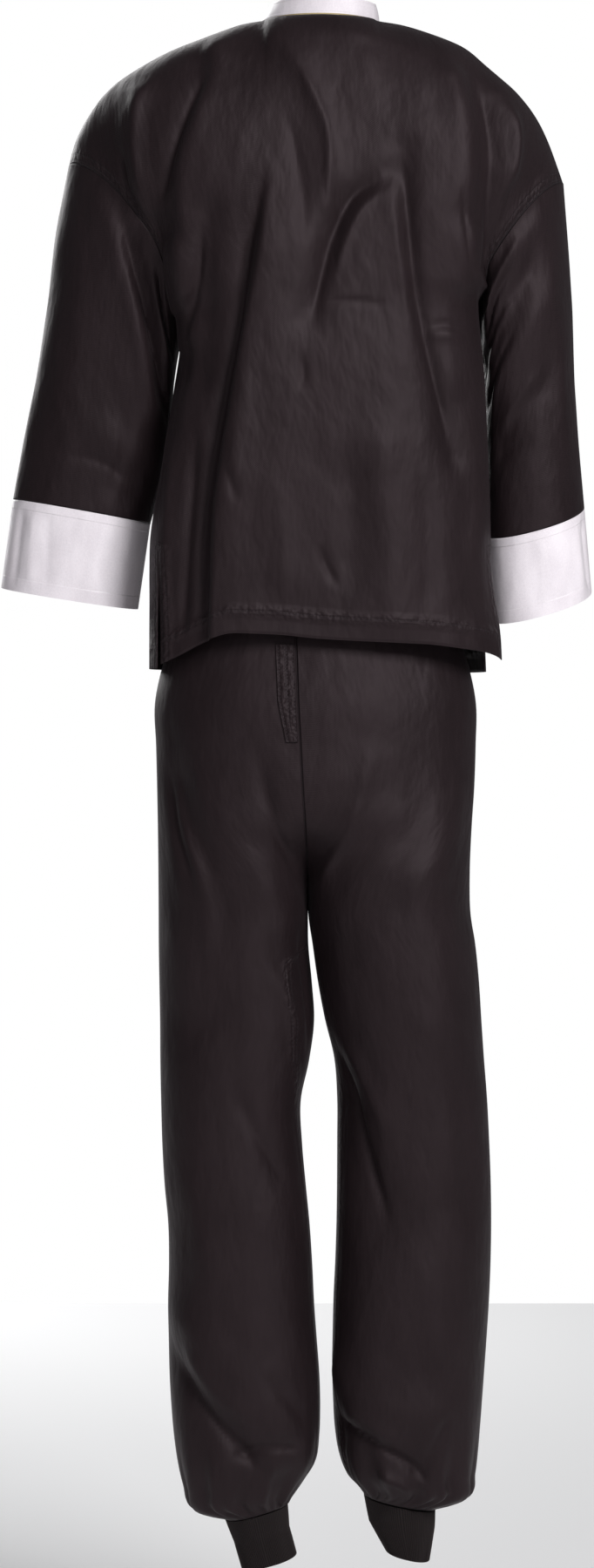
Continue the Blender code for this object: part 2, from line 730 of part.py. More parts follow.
def scaled(fold, length):
    """A fold whose second coordinate is a share, put in the same measure as its angle."""
    return Fold(tuple((a, t * length) for a, t in fold.route), fold.width, fold.height)


def cuff_grid(rows, folds_from, last):
    """Grid of the white band that goes on from the sleeve's end."""
    around = 2 * BODY_TOP_ROWS
    angle = np.linspace(math.pi, -math.pi, around + 1)
    stations = np.linspace(last, last + 1, CUFF_ROWS + 1)
    points = sleeve_rings(rows, stations, angle)
    points[0] = folds_from[-1]
    points[:, -1] = points[:, 0]
    return points


def leg_ring(rows, z, angle):
    """Sections of a leg; angle 0 is its outer side and 90 its back. Slant lowers the outer edge."""
    outer = column(rows, "outer", z)[:, None]
    inner = column(rows, "inner", z)[:, None]
    deep = column(rows, "half_depth", z)[:, None]
    middle_y = column(rows, "middle_y", z)[:, None]
    cos, sin = power_circle(angle, LEG_POWER)
    x = (outer + inner) / 2 + (outer - inner) / 2 * cos
    y = middle_y + deep * sin
    height = z[:, None] - column(rows, "slant", z)[:, None] * cos
    return np.stack([x, y, height], axis=-1)


def hip_ring(z, angle, side):
    """Level quarter sections above the crotch, with the angle's 0 to 180 squeezed to a quarter."""
    edge = column(HIPS, "left" if side > 0 else "right", z)[:, None]
    seam = column(HIPS, "seam", z)[:, None]
    back = column(HIPS, "back", z)[:, None]
    front = column(HIPS, "front", z)[:, None]
    cos, sin = power_circle(angle / 2, HIP_POWER)
    x = seam + (edge - seam) * cos
    y = np.where(sin >= 0, back * sin, -front * sin)
    return np.stack([x, y, z[:, None] + 0 * x], axis=-1)


def trouser_panel(rows, side, back, folds):
    """Grid of one trouser panel: rows from the ankle up, columns from the side seam inwards."""
    crotch = rows[0].z
    leg_z = even_heights(rows[-1].z, crotch)
    hip_z = np.linspace(crotch, HIPS[0].z, HIP_ROWS + 1)[1:]
    angle = np.linspace(0, math.pi, PANEL_COLUMNS + 1) * (1 if back else -1)
    leg = leg_ring(rows, leg_z, angle)
    top = np.full_like(hip_z, crotch)
    leg_above = leg_ring(rows, top, angle)
    leg_above[..., 2] = hip_z[:, None]
    share = smooth((hip_z - crotch) / CROTCH_BLEND)[:, None, None]
    hips = leg_above * (1 - share) + hip_ring(hip_z, angle, side) * share
    hips[..., 1] *= 1 + 4 * SEAT_FULLNESS * (share * (1 - share))[..., 0]
    points = np.concatenate([leg, hips])
    heights = gather_heights(points, angle)
    degrees = np.degrees(angle) % 360
    a, z = np.meshgrid(degrees, np.r_[leg_z, hip_z])
    heights += fold_height(a, z, folds)
    fade = edge_fade(heights.shape, True, False)
    outward = grid_normals(points) * (-1 if (side > 0) == back else 1)
    return points + outward * (heights * fade)[..., None]


def even_heights(low, high):
    """Heights up a leg, closer together at the ankle where the cloth gathers."""
    share = np.linspace(0, 1, LEG_ROWS + 1)
    return low + (high - low) * (share - ANKLE_CROWDING * share * (1 - share) ** 2)


def gather_heights(points, angle):
    """Small alternating gathers at the ankle and the waist."""
    z = points[..., 2].mean(axis=1, keepdims=True)
    near_ankle = np.exp(-(((z - z.min()) / ANKLE_GATHER_REACH) ** 2)) * smooth((z - z.min()) / 12.0)
    near_waist = np.exp(-(((z.max() - z) / ANKLE_GATHER_REACH) ** 2))
    ankle = np.cos(angle * ANKLE_GATHERS)[None] * near_ankle * ANKLE_GATHER_HEIGHT
    waist = np.cos(angle * WAIST_GATHERS)[None] * near_waist * WAIST_GATHER_HEIGHT
    return ankle + waist


class Skin:
    """Shared outward normals of grids whose seams meet, so that walls on both sides of a seam agree."""

    def __init__(self):
        self.sums = {}

    def add(self, grid, flip=False):
        """Add one grid's faces to the normals of its points."""
        a, b = grid[:-1, :-1], grid[:-1, 1:]
        c, d = grid[1:, 1:], grid[1:, :-1]
        normal = np.cross(c - a, d - b) * (-1 if flip else 1)
        for corner in (a, b, c, d):
            keys = np.round(corner.reshape(-1, 3) * 50).astype(int)
            for key, value in zip(map(tuple, keys), normal.reshape(-1, 3)):
                self.sums[key] = self.sums.get(key, 0) + value

    def normals(self, grid):
        """Unit normals at a grid's points."""
        keys = np.round(grid.reshape(-1, 3) * 50).astype(int)
        found = np.array([self.sums[tuple(key)] for key in keys])
        return unit(found).reshape(grid.shape)


def pull_back(grid, sides, gap):
    """Edges moved half a seam gap into their own panel, square to the seam."""
    points = grid.copy()
    edges = {"first": (0, 1), "last": (-1, -2)}
    for side, (edge, inside) in edges.items():
        if side in sides:
            points[:, edge] += square_step(grid[:, edge], grid[:, inside]) * gap / 2
    edges = {"bottom": (0, 1), "top": (-1, -2)}
    for side, (edge, inside) in edges.items():
        if side in sides:
            points[edge] += square_step(grid[edge], grid[inside]) * gap / 2
    return points


def square_step(edge, inside):
    """Directions from an edge line into its panel, square to the line."""
    tangent = unit(np.gradient(edge, axis=0))
    inward = inside - edge
    return unit(inward - tangent * (inward * tangent).sum(axis=1, keepdims=True))


def wall(name, outer, inner, material, collection, around=False):
    """A closed wall between an outer grid and an inner grid of the same shape."""
    mesh = bpy.data.meshes.new(name)
    shell = bmesh.new()
    if around:
        outer, inner = outer[:, :-1], inner[:, :-1]
    rows, columns = outer.shape[:2]
    out = [[shell.verts.new(point * MM) for point in row] for row in outer]
    ins = [[shell.verts.new(point * MM) for point in row] for row in inner]
    cells = columns if around else columns - 1
    for i in range(rows - 1):
        for j in range(cells):
            k = (j + 1) % columns
            shell.faces.new((out[i][j], out[i][k], out[i + 1][k], out[i + 1][j]))
            shell.faces.new((ins[i][j], ins[i + 1][j], ins[i + 1][k], ins[i][k]))
    for j in range(cells):
        k = (j + 1) % columns
        shell.faces.new((out[0][k], out[0][j], ins[0][j], ins[0][k]))
        shell.faces.new((out[-1][j], out[-1][k], ins[-1][k], ins[-1][j]))
    if not around:
        for i in range(rows - 1):
            shell.faces.new((out[i][0], out[i + 1][0], ins[i + 1][0], ins[i][0]))
            shell.faces.new((out[i + 1][-1], out[i][-1], ins[i][-1], ins[i + 1][-1]))
    bmesh.ops.recalc_face_normals(shell, faces=shell.faces)
    shell.to_mesh(mesh)
    shell.free()
    return finish(name, mesh, material, collection)


def finish(name, mesh, material, collection):
    """An object for a mesh, shaded smooth but for its cut edges."""
    mesh.shade_smooth()
    mesh.set_sharp_from_angle(angle=math.radians(50))
    mesh.materials.append(material)
    obj = bpy.data.objects.new(name, mesh)
    collection.objects.link(obj)
    return obj


def cloth_panel(name, grid, skin, edges, thick, material, collection, around=False):
    """A panel's wall from its grid and the shared normals."""
    normals = skin.normals(grid)
    own = grid_normals(grid)
    own *= np.sign((normals * own).sum())
    share = np.clip(1 - (normals * own).sum(axis=-1, keepdims=True) / FOLD_AGREEMENT, 0, 1)
    normals = unit(normals * (1 - share) + own * share)
    outer = pull_back(grid, edges, SEAM_GAP)
    inner = pull_back(grid - normals * thick, edges, SEAM_GAP)
    return wall(name, outer, inner, material, collection, around)


def build_jacket(black, white, collection):
    """Back, fronts, sleeves, cuffs, collar and frogs."""
    back, front, left_seam, right_seam = jacket_body()
    left_sleeve = sleeve_grid(LEFT_SLEEVE, left_seam, LEFT_SLEEVE_FOLDS, len(LEFT_SLEEVE) - 2)
    right_sleeve = sleeve_grid(RIGHT_SLEEVE, right_seam, RIGHT_SLEEVE_FOLDS, len(RIGHT_SLEEVE) - 2)
    left_sleeve = keep_clear(left_sleeve, (back, front))
    right_sleeve = keep_clear(right_sleeve, (back, front))
    left_cuff = cuff_grid(LEFT_SLEEVE, left_sleeve, len(LEFT_SLEEVE) - 2)
    right_cuff = cuff_grid(RIGHT_SLEEVE, right_sleeve, len(RIGHT_SLEEVE) - 2)
    skin = Skin()
    skin.add(back, flip=True)
    skin.add(front, flip=True)
    skin.add(left_sleeve)
    skin.add(left_cuff)
    skin.add(right_sleeve, flip=True)
    skin.add(right_cuff, flip=True)
    seams = {"first", "last", "top"}
    cloth_panel("jacket_back", back, skin, seams, CLOTH, black, collection)
    front_left = front[:, : FRONT_COLUMNS + 1]
    front_right = front[:, FRONT_COLUMNS:]
    cloth_panel("jacket_front_left", front_left, skin, seams, CLOTH, black, collection)
    cloth_panel("jacket_front_right", front_right, skin, seams, CLOTH, black, collection)
    ends = {"bottom", "top"}
    cloth_panel("sleeve_left", left_sleeve, skin, ends, CLOTH, black, collection, True)
    cloth_panel("sleeve_right", right_sleeve, skin, ends, CLOTH, black, collection, True)
    cloth_panel("cuff_left", left_cuff, skin, {"bottom"}, CUFF_CLOTH, white, collection, True)
    cloth_panel("cuff_right", right_cuff, skin, {"bottom"}, CUFF_CLOTH, white, collection, True)
    build_collar(back, front_left, front_right, white, collection)
    build_frogs(front_left, front_right, skin, white, collection)


def build_collar(back, front_left, front_right, white, collection):
    """The stand collar on the neck seam, open at centre front, leaning in towards its top."""
    neck = SHOULDER_COLUMNS
    base = np.concatenate(
        [front_right[-1, : neck_cells() + 1], back[-1, neck : -neck][1:], front_left[-1, neck:][1:]]
    )
    base = refine(base[:, None], 2)[:, 0]
    middle = np.array([base[:, 0].mean(), SHOULDER_Y, 0.0])
    outward = unit((base - middle) * np.array([1, 1, 0.0]))
    upward = unit(np.cross(np.gradient(base, axis=0), outward))
    place = np.linspace(-1, 1, len(base))
    front = smooth(np.abs(place) * 2.2 - 1.2)[:, None]
    right = smooth(-base[:, :1] / 40.0) * (1 - front)
    rise = COLLAR_HEIGHT + COLLAR_FRONT_EXTRA * front
    rows = []
    for share in (0.0, 0.5, 1.0):
        row = base + upward * (2 * SEAM_GAP + rise * share) - outward * COLLAR_LEAN * share**1.3
        row[:, :1] -= COLLAR_SHIFT * share * right
        rows.append(row)
    grid = np.array(rows)
    grid[:, 0, 0] = np.minimum(grid[:, 0, 0], -SEAM_GAP)
    grid[:, -1, 0] = np.maximum(grid[:, -1, 0], SEAM_GAP)
    grid[-1, [0, -1], 2] -= COLLAR_CORNER
    inner = grid - outward[None] * COLLAR_CLOTH
    wall("collar", grid, inner, white, collection)


def neck_cells():
    """How many of a front's columns end on the neck seam."""
    return FRONT_COLUMNS - SHOULDER_COLUMNS


def level_line(grid, normals, height):
    """Places and normals where the columns of a grid cross a height."""
    places, out = [], []
    for j in range(grid.shape[1]):
        z = grid[:, j, 2]
        places.append([np.interp(height, z, grid[:, j, k]) for k in range(3)])
        out.append([np.interp(height, z, normals[:, j, k]) for k in range(3)])
    places, out = np.array(places), unit(np.array(out))
    length = np.r_[0, np.cumsum(np.linalg.norm(np.diff(places, axis=0), axis=1))]
    return places, out, length


def on_line(line, reach):
    """A place and its normal this far along a level line."""
    places, out, length = line
    place = np.array([np.interp(reach, length, places[:, k]) for k in range(3)])
    normal = np.array([np.interp(reach, length, out[:, k]) for k in range(3)])
    return place, unit(normal)


def build_frogs(front_left, front_right, skin, white, collection):
    """Seven fastenings: a flat cord bar on either front, the left one ending in a knot."""
    left = front_left[:, ::-1]
    sides = (("left", left, skin.normals(left)), ("right", front_right, skin.normals(front_right)))
    heights = np.linspace(NECK_FRONT_Z - FROG_FIRST_DROP, FROG_LAST_Z, FROG_COUNT)
    for number, height in enumerate(heights, start=1):
        for label, grid, normals in sides:
            line = level_line(grid, normals, height)
            start = FROG_KNOT_RADIUS * (0.4 if label == "left" else 1.4)
            over, under = [], []
            for reach in np.linspace(start, FROG_BAR_LENGTH, FROG_BAR_CELLS + 1):
                place, out = on_line(line, reach)
                up = np.array([0.0, 0.0, 1.0])
                up = unit(up - out * np.dot(up, out)) * FROG_BAR_WIDTH / 2
                low = place + out * SURFACE_LIFT
                under.append([low - up, low + up])
                top = low + out * FROG_BAR_THICK
                over.append([top - up * FROG_BAR_TAPER, top + up * FROG_BAR_TAPER])
            name = f"frog_{label}_{number}"
            bar = wall(name, np.array(over), np.array(under), white, collection)
            if label == "left":
                place, out = on_line(line, 0.0)
                add_knot(bar, place + out * (FROG_KNOT_RADIUS + SEAM_GAP))


def add_knot(bar, place):
    """Join a round cord knot at a place in millimetres to a bar."""
    bpy.ops.mesh.primitive_uv_sphere_add(
        segments=8, ring_count=5, radius=FROG_KNOT_RADIUS * MM, location=place * MM
    )
    knot = bpy.context.object
    bpy.context.view_layer.objects.active = bar
    join = bar.modifiers.new("join", "BOOLEAN")
    join.operation = "UNION"
    join.solver = "EXACT"
    join.object = knot
    bpy.ops.object.modifier_apply(modifier=join.name)
    bpy.data.objects.remove(knot, do_unlink=True)


def build_trousers(black, rib_black, collection):
    """Four leg panels, the waistband, the strip on the seat seam and the ankle ribs."""
    panels = {}
    skin = Skin()
    for label, rows, side, folds in (
        ("left", LEFT_LEG, 1, LEFT_LEG_FOLDS),
        ("right", RIGHT_LEG, -1, RIGHT_LEG_FOLDS),
    ):
        for part, back in (("back", True), ("front", False)):
            grid = trouser_panel(rows, side, back, folds)
            skin.add(grid, flip=(side > 0) != back)
            panels[f"trouser_{part}_{label}"] = grid
    for name, grid in panels.items():
        cloth_panel(name, grid, skin, {"first", "last", "top"}, CLOTH, black, collection)
    build_waistband(panels, skin, black, collection)
    build_seat_tape(panels["trouser_back_left"], skin, black, collection)
    build_rib("ankle_rib_left", LEFT_RIB, rib_black, collection)
    build_rib("ankle_rib_right", RIGHT_RIB, rib_black, collection)


def build_waistband(panels, skin, black, collection):
    """The elastic casing that goes on from the panels' top edges."""
    order = (
        ("trouser_back_left", 1),
        ("trouser_back_right", -1),
        ("trouser_front_right", 1),
        ("trouser_front_left", -1),
    )
    loop, out = [], []
    for name, way in order:
        loop.append(panels[name][-1, ::way][:-1])
        out.append(skin.normals(panels[name])[-1, ::way][:-1])
    loop = np.concatenate(loop + [loop[0][:1]])
    out = unit(np.concatenate(out + [out[0][:1]]) * np.array([1, 1, 0.0]))
    rise = np.array([0.0, 0.0, 1.0])
    grid = np.array([loop + rise * (SEAM_GAP + WAISTBAND_HEIGHT * share) for share in (0.0, 1.0)])
    wall("waistband", grid, grid - out[None] * CLOTH * 1.6, black, collection, True)


def build_seat_tape(panel, skin, black, collection):
    """The narrowing sewn strip beside the centre-back seam, on the left panel."""
    normals = skin.normals(panel)
    panel, normals = panel[:, ::-1], normals[:, ::-1]
    tops = [row[0] for row in SEAT_TAPE]
    levels = [z for z in panel[:, 0, 2] if tops[-1] + 3 < z < tops[0] - 3]
    over, under = [], []
    for z in sorted(levels + [tops[0], tops[-1]]):
        half = np.interp(-z, [-top for top in tops], [row[1] for row in SEAT_TAPE])
        middle = np.interp(-z, [-top for top in tops], [row[2] for row in SEAT_TAPE])
        line = level_line(panel, normals, z)
        high, low = [], []
        for reach in (middle - half, middle, middle + half):
            place, out = on_line(line, reach)
            low.append(place + out * SURFACE_LIFT)
            high.append(place + out * (SURFACE_LIFT + SEAT_TAPE_THICK))
        over.append(high)
        under.append(low)
    wall("seat_tape", np.array(over), np.array(under), black, collection)


def build_rib(name, rows, rib_black, collection):
    """A knitted ankle cuff: upright ribs raised on the outside over a plain inside."""
    count = 2 * RIBS_ROUND_ANKLE
    plain = RIBS_ROUND_ANKLE // 2
    heights = np.array([row.z for row in rows], float)
    outer = leg_ring(rows, heights, np.linspace(0, 2 * math.pi, count, endpoint=False))
    inner = leg_ring(rows, heights, np.linspace(0, 2 * math.pi, plain, endpoint=False))
    centre = outer.mean(axis=1, keepdims=True)
    level = np.array([1, 1, 0.0])
    outer += unit((outer - centre) * level) * (RIB_RAISE * (np.arange(count) % 2))[None, :, None]
    inner -= unit((inner - centre) * level) * RIB_CLOTH
    mesh = bpy.data.meshes.new(name)
    shell = bmesh.new()
    out = [[shell.verts.new(point * MM) for point in row] for row in outer]
    ins = [[shell.verts.new(point * MM) for point in row] for row in inner]
    for i in range(len(rows) - 1):
        for j in range(count):
            k = (j + 1) % count
            shell.faces.new((out[i][j], out[i][k], out[i + 1][k], out[i + 1][j]))
    for j in range(plain):
        k = (j + 1) % plain
        for i in range(len(rows) - 1):
            shell.faces.new((ins[i][j], ins[i + 1][j], ins[i + 1][k], ins[i][k]))
        for ring, edge in ((out[0], ins[0]), (out[-1], ins[-1])):
            first = j * 4
            fan = [ring[(first + m) % count] for m in range(5)]
            for m in range(4):
                shell.faces.new((fan[m], fan[m + 1], edge[j if m < 2 else k]))
            shell.faces.new((fan[2], edge[k], edge[j]))
    bmesh.ops.recalc_face_normals(shell, faces=shell.faces)
    shell.to_mesh(mesh)
    shell.free()
    finish(name, mesh, rib_black, collection)


def main():
    """Build the uniform."""
    clear_scene()
    collection = bpy.data.collections.new("tai_chi_uniform")
    bpy.context.scene.collection.children.link(collection)
    black = cloth_material("black_cloth", BLACK, 0.62)
    white = cloth_material("white_cloth", WHITE, 0.5)
    rib_black = cloth_material("black_knit", RIB_BLACK, 0.9)
    build_jacket(black, white, collection)
    build_trousers(black, rib_black, collection)


main()
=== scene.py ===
"""The looks of a worn tai chi uniform: black twill, white satin trim and knitted ankle ribs.

Frame: +Z up, and the back of the garment faces +Y. The wearer's left is +X, and the origin is the middle
of the neck opening. Tables and grids are in millimetres, and meshes are in metres. Each cut piece is a
thin shell on a grid of outer points, with its folds raised on the grid's own normals.
"""

import logging
import math
from dataclasses import dataclass, field
from enum import Enum
from typing import NamedTuple

import bpy
import numpy as np
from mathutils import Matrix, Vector


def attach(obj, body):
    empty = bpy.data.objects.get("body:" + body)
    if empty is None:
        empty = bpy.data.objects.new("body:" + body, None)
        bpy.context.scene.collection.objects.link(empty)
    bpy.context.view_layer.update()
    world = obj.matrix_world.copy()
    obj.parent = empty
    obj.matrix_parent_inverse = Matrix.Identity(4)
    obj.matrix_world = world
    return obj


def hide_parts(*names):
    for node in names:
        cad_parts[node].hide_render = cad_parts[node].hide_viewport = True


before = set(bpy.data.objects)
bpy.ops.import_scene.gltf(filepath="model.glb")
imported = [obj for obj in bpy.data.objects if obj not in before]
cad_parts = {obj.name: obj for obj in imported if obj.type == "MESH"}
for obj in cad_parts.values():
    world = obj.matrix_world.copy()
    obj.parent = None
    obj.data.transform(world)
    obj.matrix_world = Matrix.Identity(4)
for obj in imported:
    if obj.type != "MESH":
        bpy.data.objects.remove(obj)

MM = 0.001
BODY = "root"
# A distance from a seam or hem that a piece doesn't have, in millimetres.
FAR = 9999.0
# How near two places are taken as one, in millimetres.
CLOSE = 0.01
# The wave texture's scale for one band in each unit.
WAVE_SCALE = 1 / math.pi
SHARP_ANGLE = math.radians(60)
# How soon a stitch fades before and after its end, as shares of its pitch.
DASH_FADE_IN = 0.12
DASH_FADE_OUT = 0.05

Route = tuple[tuple[float, float], ...]
Socket = bpy.types.NodeSocket
Material = bpy.types.Material
Colour = tuple[float, float, float, float]

LOG = logging.getLogger("uniform")


class Edge(Enum):
    """The sides of a piece's grid: its first and last column, its lowest and its highest row."""

    FIRST = "first"
    LAST = "last"
    BOTTOM = "bottom"
    TOP = "top"


class TorsoRow(NamedTuple):
    """One level section of the jacket below the armholes."""

    z: float
    left: float
    right: float
    back: float
    front: float


class SleeveRow(NamedTuple):
    """One section of a sleeve: its outer and inner edge as seen from behind, and its depth."""

    outer_x: float
    outer_z: float
    inner_x: float
    inner_z: float
    middle_y: float
    half_depth: float
    bow: float
    pitch: float


class LegRow(NamedTuple):
    """One level section of a trouser leg or of an ankle rib."""

    z: float
    outer: float
    inner: float
    middle_y: float
    half_depth: float
    slant: float


class HipRow(NamedTuple):
    """One level section of the trousers above the crotch."""

    z: float
    left: float
    right: float
    seam: float
    back: float
    front: float


class Fold(NamedTuple):
    """A ridge, or a valley where height is below 0; edge is 1 for a round fold and near 0 for a crease."""

    route: Route
    width: float
    height: float
    edge: float = 1.0
    taper: float = 0.0


class Lap(NamedTuple):
    """A lap of cloth: the side towards -X of the route stands out over the other."""

    route: Route
    width: float
    height: float
    reach: float


def unit(vectors: np.ndarray) -> np.ndarray:
    """Give vectors at length 1."""
    return vectors / np.maximum(np.linalg.norm(vectors, axis=-1, keepdims=True), 1e-9)


def smooth(value: np.ndarray) -> np.ndarray:
    """Give 0 to 1 with level ends."""
    value = np.clip(value, 0.0, 1.0)
    return value * value * (3 - 2 * value)


def column(rows: tuple, name: str, at: np.ndarray) -> np.ndarray:
    """Read one named column of a table at other heights.

    Args:
        rows: the table, each row with a z.
        name: the column.
        at: the heights.

    Returns:
        The column's value at each height.
    """
    keys = np.array([row.z for row in rows], float)
    values = np.array([getattr(row, name) for row in rows], float)
    order = np.argsort(keys)
    return np.interp(at, keys[order], values[order])


def travel(line: np.ndarray) -> np.ndarray:
    """Give the length along a line up to each of its points."""
    return np.r_[0, np.cumsum(np.linalg.norm(np.diff(line, axis=0), axis=1))]


def read_at(wanted: np.ndarray, keys: np.ndarray, points: np.ndarray) -> np.ndarray:
    """Read points between their keys.

    Args:
        wanted: where they are read.
        keys: each point's own key.
        points: the points.

    Returns:
        The points read.
    """
    return np.stack([np.interp(wanted, keys, points[:, k]) for k in range(3)], axis=1)


def along(points: np.ndarray, count: int) -> np.ndarray:
    """Space points evenly by length along a dense line.

    Args:
        points: the dense line.
        count: how many points to give.

    Returns:
        The evenly spaced points.
    """
    length = travel(points)
    return read_at(np.linspace(0, length[-1], count), length, points)


def power_circle(angle: np.ndarray, power: float) -> tuple[np.ndarray, np.ndarray]:
    """Give a superellipse's cosine and sine, with its sides fuller as power grows.

    Args:
        angle: the angles, in radians.
        power: 2 for an ellipse.

    Returns:
        The cosine and the sine.
    """
    cos, sin = np.cos(angle), np.sin(angle)
    return (
        np.sign(cos) * np.abs(cos) ** (2 / power),
        np.sign(sin) * np.abs(sin) ** (2 / power),
    )


def splined(grid: np.ndarray, steps: int, axis: int = 0, closed: bool = False) -> np.ndarray:
    """Add points between a grid's own along one axis, on a smooth curve through them.

    Args:
        grid: points or values.
        steps: how many cells each cell becomes.
        axis: the axis along which points are added.
        closed: True where the last point is the first again.

    Returns:
        The finer grid.
    """
    line = np.moveaxis(grid, axis, 0)
    if closed:
        padded = np.concatenate([line[-2:-1], line, line[1:2]])
    else:
        padded = np.concatenate([2 * line[:1] - line[1:2], line, 2 * line[-1:] - line[-2:-1]])
    count = len(line) - 1
    dense = np.linspace(0, count, count * steps + 1)
    low = np.minimum(dense.astype(int), count - 1)
    t = (dense - low).reshape((-1,) + (1,) * (line.ndim - 1))
    before, start, end, after = (padded[low + k] for k in range(4))
    curve = 2 * start + (end - before) * t
    curve += (2 * before - 5 * start + 4 * end - after) * t**2
    curve += (3 * start - before - 3 * end + after) * t**3
    return np.moveaxis(curve / 2, 0, axis)


def grid_normals(points: np.ndarray, around: bool = False) -> np.ndarray:
    """Give a grid's normals from its own rows and columns.

    Args:
        points: the grid.
        around: True where the last column is the first again.

    Returns:
        The normals, along columns crossed with up rows.
    """
    across = np.gradient(points, axis=1)
    if around:
        across[:, 0] = across[:, -1] = (points[:, 1] - points[:, -2]) / 2
    return unit(np.cross(across, np.gradient(points, axis=0)))


def route_places(first: np.ndarray, second: np.ndarray, route: tuple) -> tuple[np.ndarray, np.ndarray]:
    """Find how far places are from a route, and how far along it they are.

    Args:
        first: the places' first coordinate.
        second: their second coordinate.
        route: the route's points.

    Returns:
        The distance, and the share of the route's length up to its nearest point.
    """
    line = splined(np.array(route, float), 5)
    reach = travel(line)
    nearest = np.full(first.shape, 1e9)
    share = np.zeros(first.shape)
    for (ax, ay), (bx, by), start, end in zip(line, line[1:], reach, reach[1:]):
        dx, dy = bx - ax, by - ay
        t = np.clip(((first - ax) * dx + (second - ay) * dy) / (dx * dx + dy * dy + 1e-9), 0, 1)
        distance = np.hypot(first - ax - t * dx, second - ay - t * dy)
        closer = distance < nearest
        nearest = np.where(closer, distance, nearest)
        share = np.where(closer, (start + (end - start) * t) / reach[-1], share)
    return nearest, share


def fold_heights(first: np.ndarray, second: np.ndarray, folds: tuple[Fold, ...]) -> np.ndarray:
    """Sum the heights of folds at places.

    Args:
        first: the places' first coordinate.
        second: their second coordinate.
        folds: the folds, in the same coordinates.

    Returns:
        The height at each place.
    """
    total = np.zeros(first.shape)
    for fold in folds:
        distance, share = route_places(first, second, fold.route)
        radius = fold.edge * fold.width
        profile = np.exp(-(np.hypot(distance, radius) - radius) / (0.45 * fold.width))
        if fold.taper:
            profile *= smooth(share / fold.taper) * smooth((1 - share) / fold.taper)
        total += fold.height * profile
    return total


def lap_heights(x: np.ndarray, z: np.ndarray, laps: tuple[Lap, ...], fade: float) -> np.ndarray:
    """Give how far each lap raises the cloth on its -X side and lets it fall on the other.

    Args:
        x: the places' x.
        z: their z.
        laps: the laps.
        fade: the height over which a lap grows from its top.

    Returns:
        The height at each place.
    """
    total = np.zeros(x.shape)
    for lap in laps:
        route = splined(np.array(lap.route, float), 5)
        inward = np.interp(z, route[::-1, 1], route[::-1, 0]) - x
        strength = np.exp(-((inward / lap.reach) ** 2)) * smooth((route[0, 1] - z) / fade)
        total += lap.height * (np.tanh(inward / lap.width) * 0.5 + 0.1) * strength
    return total


def merged(parts: list[bpy.types.Object]) -> bpy.types.Object:
    """Join objects into the first of them.

    Args:
        parts: the objects.

    Returns:
        The joined object.
    """
    bpy.ops.object.select_all(action="DESELECT")
    for part in parts:
        part.select_set(True)
    bpy.context.view_layer.objects.active = parts[0]
    bpy.ops.object.join()
    return bpy.context.object


